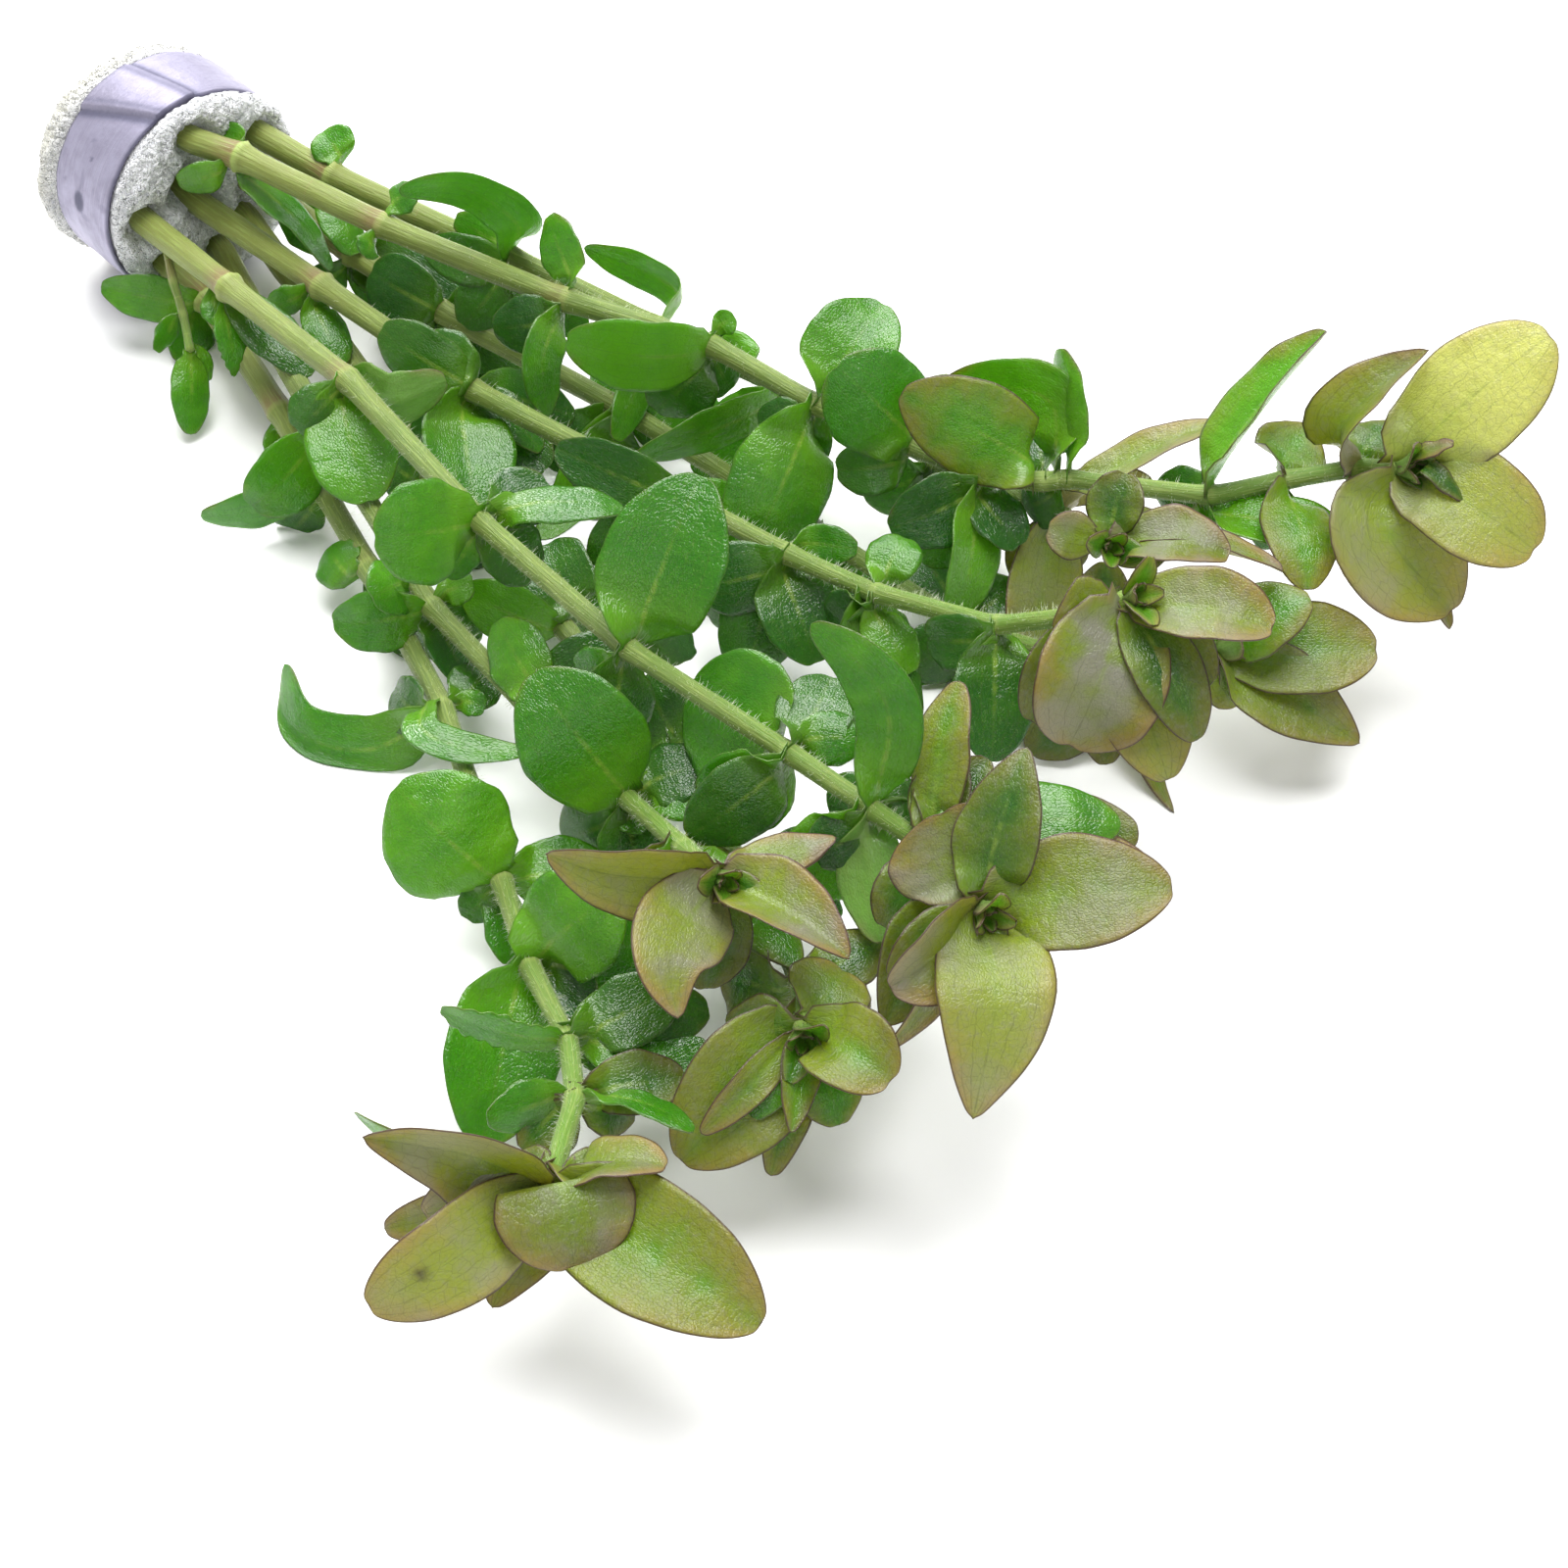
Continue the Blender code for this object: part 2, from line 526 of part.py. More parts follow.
def stem_solid(name):
    """Return a stem with a ring at each joint and a bud at its tip."""
    joints = stem_joints(name)
    if name == "shoot":
        return tube(joints, [SHOOT_RADIUS] * len(joints), 5, joints[-1] + unit(joints[-1] - joints[-2]))
    places = [np.array([STEM_END_X, joints[0][1], joints[0][2]]), joints[0]]
    radii = [STEM_RADIUS_CUT, STEM_RADIUS_CUT]
    for number in range(1, len(joints)):
        radius = stem_radius(name, number)
        axis = stem_axis(name, number)
        before = np.linalg.norm(joints[number] - joints[number - 1])
        if before > 4:
            places.append(joints[number] - axis)
            radii.append(radius)
        places.append(joints[number])
        radii.append(radius * JOINT_SWELL)
    axis = stem_axis(name, len(joints) - 1)
    places.append(joints[-1] + axis * BUD_LENGTH * 0.5)
    radii.append(STEM_RADIUS_TIP * 0.9)
    return tube(places, radii, STEM_SIDES, joints[-1] + axis * BUD_LENGTH)


def band_profile(flap, x):
    """Return one end of the lead band: its outer ring, with the raised flap, and its inner ring."""
    outer = []
    start, stop = flap
    angles = [start - 0.4, start, (start + stop) / 2, stop, stop + 0.4]
    rises = [0.0, FLAP_RISE, FLAP_RISE, FLAP_RISE, 0.0]
    rest = [stop + 0.4 + (360 - stop + start - 0.8) * step / 44 for step in range(1, 44)]
    for angle, rise in zip(angles + rest, rises + [0.0] * len(rest)):
        outer.append((angle, BAND_RADIUS + rise))
    rings = []
    for angle, radius in outer:
        turn = math.radians(angle)
        rings.append((x, radius * math.sin(turn), max(0.0, BAND_CENTRE + radius * math.cos(turn))))
    for angle, radius in outer:
        turn = math.radians(angle)
        inner = BAND_RADIUS - BAND_WALL
        rings.append((x, inner * math.sin(turn), BAND_CENTRE + inner * math.cos(turn)))
    return rings, len(outer)


def band_solid():
    """Return the lead strip, wound round once and lapped over itself at the top."""
    far, count = band_profile(FLAP_FAR, -BAND_WIDTH / 2)
    near, count = band_profile(FLAP_NEAR, BAND_WIDTH / 2)
    faces = []
    end = 2 * count
    for step in range(count):
        after = (step + 1) % count
        faces.append((step, after, end + after, end + step))
        faces.append((count + after, count + step, end + count + step, end + count + after))
        faces.append((after, step, count + step, count + after))
        faces.append((end + step, end + after, end + count + after, end + count + step))
    return np.array(far + near), faces


def foam_solid():
    """Return the foam roll before its stem holes are cut."""
    profile = [(FOAM_FAR_X, 9.5), (FOAM_FAR_X + 0.9, 12.0), (FOAM_FAR_X + 2.4, FOAM_RADIUS),
               (BAND_WIDTH / 2 - 0.2, FOAM_RADIUS), (FOAM_FACE_X - 0.5, FOAM_RADIUS - 0.5), (FOAM_FACE_X, 11.4)]
    places = [np.array([x, 0.0, BAND_CENTRE]) for x, radius in profile]
    radii = [radius for x, radius in profile]
    return tube(places, radii, 20)


def make_object(name, corners, faces):
    """Make a mesh object in metres from corners in millimetres."""
    mesh = bpy.data.meshes.new(name)
    mesh.from_pydata([tuple(corner * MM) for corner in np.asarray(corners, float)], [], faces)
    shape = bmesh.new()
    shape.from_mesh(mesh)
    bmesh.ops.recalc_face_normals(shape, faces=shape.faces)
    bmesh.ops.triangulate(shape, faces=[face for face in shape.faces if len(face.verts) > 3])
    shape.to_mesh(mesh)
    shape.free()
    item = bpy.data.objects.new(name, mesh)
    bpy.context.scene.collection.objects.link(item)
    return item


def trial_poses():
    """Return small changes of a leaf's pose to try, the mildest first."""
    poses = []
    for nearer, turn, lift, lower, size in itertools.product(
            (0, 1.5, -1.5, 3, -3, 5, -5), (0, 14, -14, 28, -28), (0, 0.06, -0.06), (0, 1.2, 2.4, 3.6),
            (1.0, 0.88, 0.75, 0.6)):
        change = abs(nearer) / 1.5 + abs(turn) / 12 + abs(lift) * 14 + lower * 0.6 + (1 - size) * 14
        poses.append((change, nearer, turn, lift, lower, size))
    return [pose[1:] for pose in sorted(poses)[:TRIALS]]


class Neighbours:
    """The solids placed so far, which a new leaf has to stay clear of."""

    def __init__(self):
        self.placed = []

    def add(self, owner, corners, faces):
        """Add a solid and what it grows from."""
        tree = BVHTree.FromPolygons([tuple(corner) for corner in corners], faces)
        self.placed.append((owner, tree, corners.min(axis=0), corners.max(axis=0)))

    def touch(self, corners, faces, skip=None):
        """Tell whether a solid meets any placed one, apart from those of one owner."""
        low = corners.min(axis=0)
        high = corners.max(axis=0)
        tree = None
        for owner, other, other_low, other_high in self.placed:
            if owner == skip or (other_low > high).any() or (other_high < low).any():
                continue
            tree = tree or BVHTree.FromPolygons([tuple(corner) for corner in corners], faces)
            if tree.overlap(other):
                return True
        return False


def has_own_node(stem, leaf):
    """Tell whether a leaf is large enough to be a node of its own."""
    return stem != "shoot" and leaf.length * leaf.width >= OWN_AREA


def settle_leaves():
    """Place the leaves rank by rank, each in the first pose that is clear of all before it."""
    near = Neighbours()
    for name in list(JOINTS) + ["shoot"]:
        near.add(name, *stem_solid(name))
    near.add("foam", *foam_solid())
    near.add("band", *band_solid())
    settled = []
    poses = trial_poses()
    ranks = max(len(leaves) for leaves in LEAVES.values())
    for rank in range(ranks):
        for stem, leaves in LEAVES.items():
            if rank >= len(leaves):
                continue
            own = has_own_node(stem, leaves[rank])
            stations = OWN_STATIONS if own else SMALL_STATIONS
            for pose in poses:
                shape = LeafShape(stem, leaves[rank], pose)
                whole = shape.solid(stations, CLEARANCE, foot=not own)
                beyond = shape.solid(stations[1:], CLEARANCE)
                if own and near.touch(*shape.solid(stations, 0.05)):
                    continue
                if not near.touch(*whole, skip=stem) and not near.touch(*beyond):
                    near.add((stem, rank), *shape.solid(stations, foot=not own))
                    settled.append((stem, own, leaves[rank], shape))
                    break
    return settled


def combine(item, others, operation):
    """Join other solids to an object or cut them from it, and remove them."""
    group = bpy.data.collections.new(item.name + "_operands")
    bpy.context.scene.collection.children.link(group)
    for other in others:
        bpy.context.scene.collection.objects.unlink(other)
        group.objects.link(other)
    change = item.modifiers.new(operation.lower(), "BOOLEAN")
    change.operation = operation
    change.solver = "EXACT"
    change.operand_type = "COLLECTION"
    change.collection = group
    bpy.context.view_layer.update()
    graph = bpy.context.evaluated_depsgraph_get()
    mesh = bpy.data.meshes.new_from_object(item.evaluated_get(graph))
    item.modifiers.clear()
    item.data = mesh
    mesh.name = item.name
    for other in others:
        bpy.data.objects.remove(other)
    bpy.data.collections.remove(group)


def make_foam():
    """Make the foam roll with a hole for each stem and the hollow between them."""
    foam = make_object("foam_wrap", *foam_solid())
    cutters = []
    for name, (sideways, height) in FOAM_HOLES.items():
        ends = [np.array([x, sideways, height]) for x in (STEM_END_X - CLEARANCE, FOAM_FACE_X + 2)]
        radius = (STEM_RADIUS_CUT + CLEARANCE) / math.cos(math.pi / 8)
        cutters.append(make_object("hole", *tube(ends, [radius] * 2, 8)))
    ends = [np.array([x, *HOLLOW_CENTRE]) for x in (1.5, FOAM_FACE_X + 2)]
    cutters.append(make_object("hollow", *tube(ends, [HOLLOW_RADIUS * 0.8, HOLLOW_RADIUS], 7)))
    combine(foam, cutters, "DIFFERENCE")
    return foam


def finish(item, colour, roughness, metallic=0.0):
    """Give an object its own material and smooth shading."""
    material = bpy.data.materials.new(item.name)
    material.use_nodes = True
    shader = material.node_tree.nodes["Principled BSDF"]
    shader.inputs["Base Color"].default_value = (*colour, 1.0)
    shader.inputs["Roughness"].default_value = roughness
    shader.inputs["Metallic"].default_value = metallic
    item.data.materials.clear()
    item.data.materials.append(material)
    for face in item.data.polygons:
        face.use_smooth = True


def main():
    """Build the band, the foam, the stems with their small leaves, and the larger leaves."""
    for item in list(bpy.data.objects):
        bpy.data.objects.remove(item)
    finish(make_object("lead_band", *band_solid()), LEAD_COLOUR, 0.4, 0.9)
    finish(make_foam(), FOAM_COLOUR, 0.95)
    small = {name: [] for name in JOINTS}
    small[SHOOT_PARENT].append(make_object("side_shoot", *stem_solid("shoot")))
    numbers = dict.fromkeys(JOINTS, 0)
    for stem, own, leaf, shape in settle_leaves():
        if own:
            numbers[stem] += 1
            blade = make_object(f"stem_{stem}_leaf_{numbers[stem]}", *shape.solid(OWN_STATIONS))
            finish(blade, LEAF_COLOUR, 0.45)
        else:
            parent = SHOOT_PARENT if stem == "shoot" else stem
            small[parent].append(make_object("small_leaf", *shape.solid(SMALL_STATIONS, foot=True)))
    for name in JOINTS:
        stem = make_object(f"stem_{name}", *stem_solid(name))
        combine(stem, small[name], "UNION")
        finish(stem, STEM_COLOUR, 0.5)


main()
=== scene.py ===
import itertools
import json
import logging
import math
from dataclasses import dataclass, field
from enum import Enum
from functools import cached_property
from typing import Iterable, NamedTuple

import bpy
import numpy as np
from mathutils import Matrix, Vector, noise
from mathutils.bvhtree import BVHTree

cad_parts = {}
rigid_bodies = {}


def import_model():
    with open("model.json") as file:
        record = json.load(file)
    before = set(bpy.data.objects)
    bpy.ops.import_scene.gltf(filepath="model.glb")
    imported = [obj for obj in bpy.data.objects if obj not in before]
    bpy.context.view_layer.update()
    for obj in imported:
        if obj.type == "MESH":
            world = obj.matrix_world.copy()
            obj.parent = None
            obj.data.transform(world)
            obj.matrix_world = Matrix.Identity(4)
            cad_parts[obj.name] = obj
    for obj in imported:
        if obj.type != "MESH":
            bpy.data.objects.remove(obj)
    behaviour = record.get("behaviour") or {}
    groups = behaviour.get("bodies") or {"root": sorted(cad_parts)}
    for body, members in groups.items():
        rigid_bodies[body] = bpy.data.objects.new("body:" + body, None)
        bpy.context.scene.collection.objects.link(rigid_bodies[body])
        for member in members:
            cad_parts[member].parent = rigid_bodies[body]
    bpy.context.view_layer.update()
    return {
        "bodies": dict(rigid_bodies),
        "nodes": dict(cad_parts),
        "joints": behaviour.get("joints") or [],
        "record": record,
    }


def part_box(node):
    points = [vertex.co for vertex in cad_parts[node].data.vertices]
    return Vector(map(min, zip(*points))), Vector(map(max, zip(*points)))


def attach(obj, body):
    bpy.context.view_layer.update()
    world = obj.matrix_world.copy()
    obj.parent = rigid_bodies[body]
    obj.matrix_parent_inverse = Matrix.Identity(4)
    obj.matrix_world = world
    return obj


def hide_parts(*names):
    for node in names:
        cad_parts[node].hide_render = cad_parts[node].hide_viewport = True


logging.basicConfig(level=logging.INFO, format="%(message)s")
log = logging.getLogger("bacopa")

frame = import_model()

MM = 0.001
Vec = np.ndarray
Solid = tuple[np.ndarray, list[tuple[int, ...]]]


def unit(vector: Iterable[float]) -> Vec:
    """Scale a vector to length one."""
    return np.asarray(vector, float) / np.linalg.norm(vector)


def ease(share: Vec) -> Vec:
    """Turn a straight share from 0 to 1 into one that starts and ends softly."""
    held = np.clip(share, 0.0, 1.0)
    return held * held * (3 - 2 * held)


def link(item: bpy.types.Object) -> bpy.types.Object:
    """Put an object into the scene."""
    bpy.context.scene.collection.objects.link(item)
    return item


def looking(place: Vec, right: Vec, upward: Vec, back: Vec) -> Matrix:
    """Give the matrix, in metres, of an object at a place that faces away from its back."""
    turned = Matrix(np.stack([right, upward, back], axis=1).tolist())
    return Matrix.Translation(place.tolist()) @ turned.to_4x4()


def reach_of(curve: Vec) -> Vec:
    """Give the distance along a curve of each of its points."""
    return np.concatenate([[0.0], np.cumsum(np.linalg.norm(np.diff(curve, axis=0), axis=1))])


def read_off(curve: Vec, reach: Vec, places: Vec) -> Vec:
    """Give the points of a curve at some distances along it."""
    return np.stack([np.interp(places, reach, column) for column in curve.T], axis=1)


def headings(curve: Vec) -> Vec:
    """Give the direction, of length one, at each point of a curve."""
    slope = np.gradient(curve, axis=0)
    return slope / np.linalg.norm(slope, axis=1)[:, None]


@dataclass(frozen=True)
class PhotoView:
    """The view of the photograph, in millimetres of the bunch's own frame."""

    focal_px: float = 3000.0
    width_px: float = 1600.0
    middle_px: float = 800.0
    tilt_deg: float = 51.4
    turn_deg: float = 46.1
    distance: float = 316.0
    target: tuple[float, float, float] = (112.5, -5.2, 0.0)

    @cached_property
    def right(self) -> Vec:
        """Direction to the picture's right."""
        turn = math.radians(self.turn_deg)
        return np.array([math.cos(turn), math.sin(turn), 0.0])

    @cached_property
    def away(self) -> Vec:
        """Level direction away from the camera."""
        turn = math.radians(self.turn_deg)
        return np.array([-math.sin(turn), math.cos(turn), 0.0])

    @cached_property
    def forward(self) -> Vec:
        """Direction in which the camera looks."""
        tilt = math.radians(self.tilt_deg)
        return self.away * math.cos(tilt) - np.array([0.0, 0.0, math.sin(tilt)])

    @cached_property
    def upward(self) -> Vec:
        """Direction to the picture's top."""
        tilt = math.radians(self.tilt_deg)
        return self.away * math.sin(tilt) + np.array([0.0, 0.0, math.cos(tilt)])

    @cached_property
    def place(self) -> Vec:
        """The camera's own place."""
        return np.array(self.target) - self.forward * self.distance

    def sight(self, column: float, row: float) -> Vec:
        """Find a line of sight.

        Args:
            column: Picture column in pixels.
            row: Picture row in pixels.

        Returns:
            The direction from the camera through that point of the picture.
        """
        across = (column - self.middle_px) / self.focal_px
        down = (row - self.middle_px) / self.focal_px
        return unit(self.forward + self.right * across - self.upward * down)

    def at_height(self, column: float, row: float, height: float) -> Vec:
        """Find the place seen at a point of the picture, at a height above the surface."""
        line = self.sight(column, row)
        return self.place + line * (height - self.place[2]) / line[2]

    def beside(self, column: float, row: float, place: Vec, nearer: float) -> Vec:
        """Find the place on a line of sight that is level with another place."""
        line = self.sight(column, row)
        return self.place + line * ((place - self.place) @ line - nearer)

    def build_camera(self) -> bpy.types.Object:
        """Make the camera at the photograph's viewing angle and use it.

        Returns:
            The camera object.
        """
        data = bpy.data.cameras.new("photo_camera")
        data.sensor_width = 36.0
        data.lens = data.sensor_width * self.focal_px / self.width_px
        data.clip_start = 0.01
        data.clip_end = 20.0
        camera = bpy.data.objects.new("photo_camera", data)
        camera.matrix_world = looking(self.place * MM, self.right, self.upward, -self.forward)
        bpy.context.scene.camera = link(camera)
        return camera


class Change(NamedTuple):
    """A small change of a leaf's pose: nearer, turned, lifted, lower on the stem, and its size."""

    nearer: float
    turn: float
    lift: float
    lower: float
    size: float


class Outline(Enum):
    """The leaves' outlines: width at the foot, widest part, and how the tip is drawn in."""

    ROUND = (0.36, 0.46, 2.1, 0.56)
    OVAL = (0.34, 0.42, 1.85, 0.66)
    POINTED = (0.36, 0.36, 1.6, 0.92)

    def width(self, s: Vec) -> Vec:
        """Give the width along a leaf.

        Args:
            s: Parts of its length.

        Returns:
            The widths as parts of the greatest width.
        """
        foot, widest, power, draw = self.value
        rise = foot + (1 - foot) * np.sqrt(1 - (1 - np.clip(s / widest, 0, 1)) ** 2)
        fall = np.maximum(0.0, 1 - np.clip((s - widest) / (1 - widest), 0, 1) ** power) ** draw
        return np.where(s < widest, rise, fall)


@dataclass(frozen=True)
class Leaf:
    """A leaf: where it grows, where its tip is seen, its size and pose, and how it has aged.

    The tip is nearer to the camera than the leaf's joint where near is 1. face is how far the
    blade is turned about its midrib from facing the camera, in degrees. arch is how far it bulges,
    as a part of its length. via gives points of the midrib: column, row and how much nearer.
    age runs from 0, green, to 1, bronze. fold lifts the two halves of the blade, wave ripples its
    margins, torn bites into them, spot is a dark place as shares along and across, outline is chosen
    by the leaf's number where it isn't given, pale is how far its skin has yellowed, partly painted
    backlight glow, or below 0 how far it is darkened, partly painted shade, and clear lifts it off the leaf under it.
    """

    joint: int
    tip_px: tuple[float, float]
    length: float
    width: float
    face: float = 0.0
    near: int = 1
    arch: float = 0.06
    via: tuple[tuple[float, float, float], ...] = ()
    age: float = 0.0
    fold: float = 0.0
    wave: float = 0.22
    torn: float = 0.0
    spot: tuple[float, float] | None = None
    outline: Outline | None = None
    pale: float = 0.0
    clear: float = 0.0


@dataclass(frozen=True)
class Sizes:
    """The bunch's driving sizes in millimetres, the same as its solids have."""

    band_radius: float = 13.7
    band_width: float = 10.5
    band_wall: float = 0.6
    band_centre: float = 13.5
    flap_rise: float = 0.5
    flap_near: tuple[float, float] = (-16.0, 9.0)
    flap_far: tuple[float, float] = (-36.0, -2.0)
    foam_gap: float = 0.3
    foam_far_x: float = -9.5
    foam_face_x: float = 6.75
    hollow_centre: tuple[float, float] = (-2.2, 16.6)
    hollow_radius: float = 2.6
    stem_cut: float = 1.75
    stem_tip: float = 1.2
    shoot: float = 0.5
    stem_end_x: float = -7.0
    stem_sides: int = 6
    joint_swell: float = 1.2
    bud: float = 2.6
    leaf_thickness: float = 0.4
    leaf_foot: float = 0.2
    leaf_widest: float = 0.45
    leaf_cup: float = 0.12
    leaf_gap: float = 0.35
    clearance: float = 0.3
    floor_softness: float = 1.2
    own_area: float = 121.0

    @property
    def foam_radius(self) -> float:
        """Outer radius of the foam inside the band."""
        return self.band_radius - self.band_wall - self.foam_gap

    def leaf_width(self, s: float) -> float:
        """Give a leaf's width at a part of its length.

        Args:
            s: The part of the length, from 0 at the foot to 1 at the tip.

        Returns:
            The width as a part of the greatest width.
        """
        if s < self.leaf_widest:
            rise = math.sin(math.pi / 2 * s / self.leaf_widest) ** 1.1
            return self.leaf_foot + (1 - self.leaf_foot) * rise
        return math.sqrt(max(0.0, 1 - ((s - self.leaf_widest) / (1 - self.leaf_widest)) ** 2.3))

    def above_floor(self, points: Vec, half: float) -> Vec:
        """Lay points softly on the surface where they would pass below it.

        Args:
            points: One point or rows of points.
            half: Half the thickness of what lies there.

        Returns:
            The points, none below the surface.
        """
        laid = np.array(points, float)
        height = laid[..., 2] - half
        soft = self.floor_softness * np.exp(np.minimum(0.0, (height - self.floor_softness) / self.floor_softness))
        laid[..., 2] = np.where(height < self.floor_softness, soft, height) + half
        return laid


ROUND, OVAL, POINTED = Outline
SIZES = Sizes()
VIEW = PhotoView()


def spline(points: list[Vec], steps: int) -> list[Vec]:
    """Draw a smooth curve through points.

    Args:
        points: The points to pass.
        steps: How many steps each stretch gets.

    Returns:
        The curve's points.
    """
    ends = [2 * points[0] - points[1]] + list(points) + [2 * points[-1] - points[-2]]
    curve = []
    for a, b, c, d in zip(ends, ends[1:], ends[2:], ends[3:]):
        for step in range(steps):
            t = step / steps
            bend = (2 * a - 5 * b + 4 * c - d) * t ** 2 + (3 * b - a - 3 * c + d) * t ** 3
            curve.append(0.5 * (2 * b + (c - a) * t + bend))
    curve.append(points[-1])
    return curve


@dataclass(frozen=True)
class StemPlan:
    """A stem as it is laid out: its place in the foam, its joints as seen, its leaves, and those deep inside.

    Each of deep is a joint, the tip's column and row, a length and a width.
    """

    name: str
    hole: tuple[float, float] | None
    seen: tuple[tuple[float, float, float], ...]
    leaves: tuple[Leaf, ...]
    deep: tuple[tuple[int, int, int, float, float], ...] = ()

    @cached_property
    def joints(self) -> list[Vec]:
        """The joints, from the foam's face to the tip."""
        seen = [VIEW.at_height(*place) for place in self.seen]
        if self.hole is None:
            return seen
        return [np.array([SIZES.foam_face_x, *self.hole])] + seen

    @property
    def filling(self) -> list[Leaf]:
        """The leaves deep inside the bunch, olive where they grow near the tip, darkened with painted shade."""
        last = len(self.seen)
        return [Leaf(joint, (x, y), length, width, 15, -1, age=0.5 if joint > last - 2 else 0.0, pale=-0.7)
                for joint, x, y, length, width in self.deep]

    @cached_property
    def reach(self) -> list[float]:
        """Each joint's distance along the stem from the first one."""
        reach = [0.0]
        for a, b in zip(self.joints, self.joints[1:]):
            reach.append(reach[-1] + np.linalg.norm(b - a))
        return reach

    def radius(self, joint: int) -> float:
        """Give the stem's radius at a joint.

        Args:
            joint: The joint's number.

        Returns:
            The radius in millimetres.
        """
        if self.hole is None:
            return SIZES.shoot
        return SIZES.stem_cut + (SIZES.stem_tip - SIZES.stem_cut) * self.reach[joint] / self.reach[-1]

    def axis(self, joint: int) -> Vec:
        """Give the direction in which the stem grows at a joint."""
        last = len(self.joints) - 1
        return unit(self.joints[min(joint + 1, last)] - self.joints[max(joint - 1, 0)])


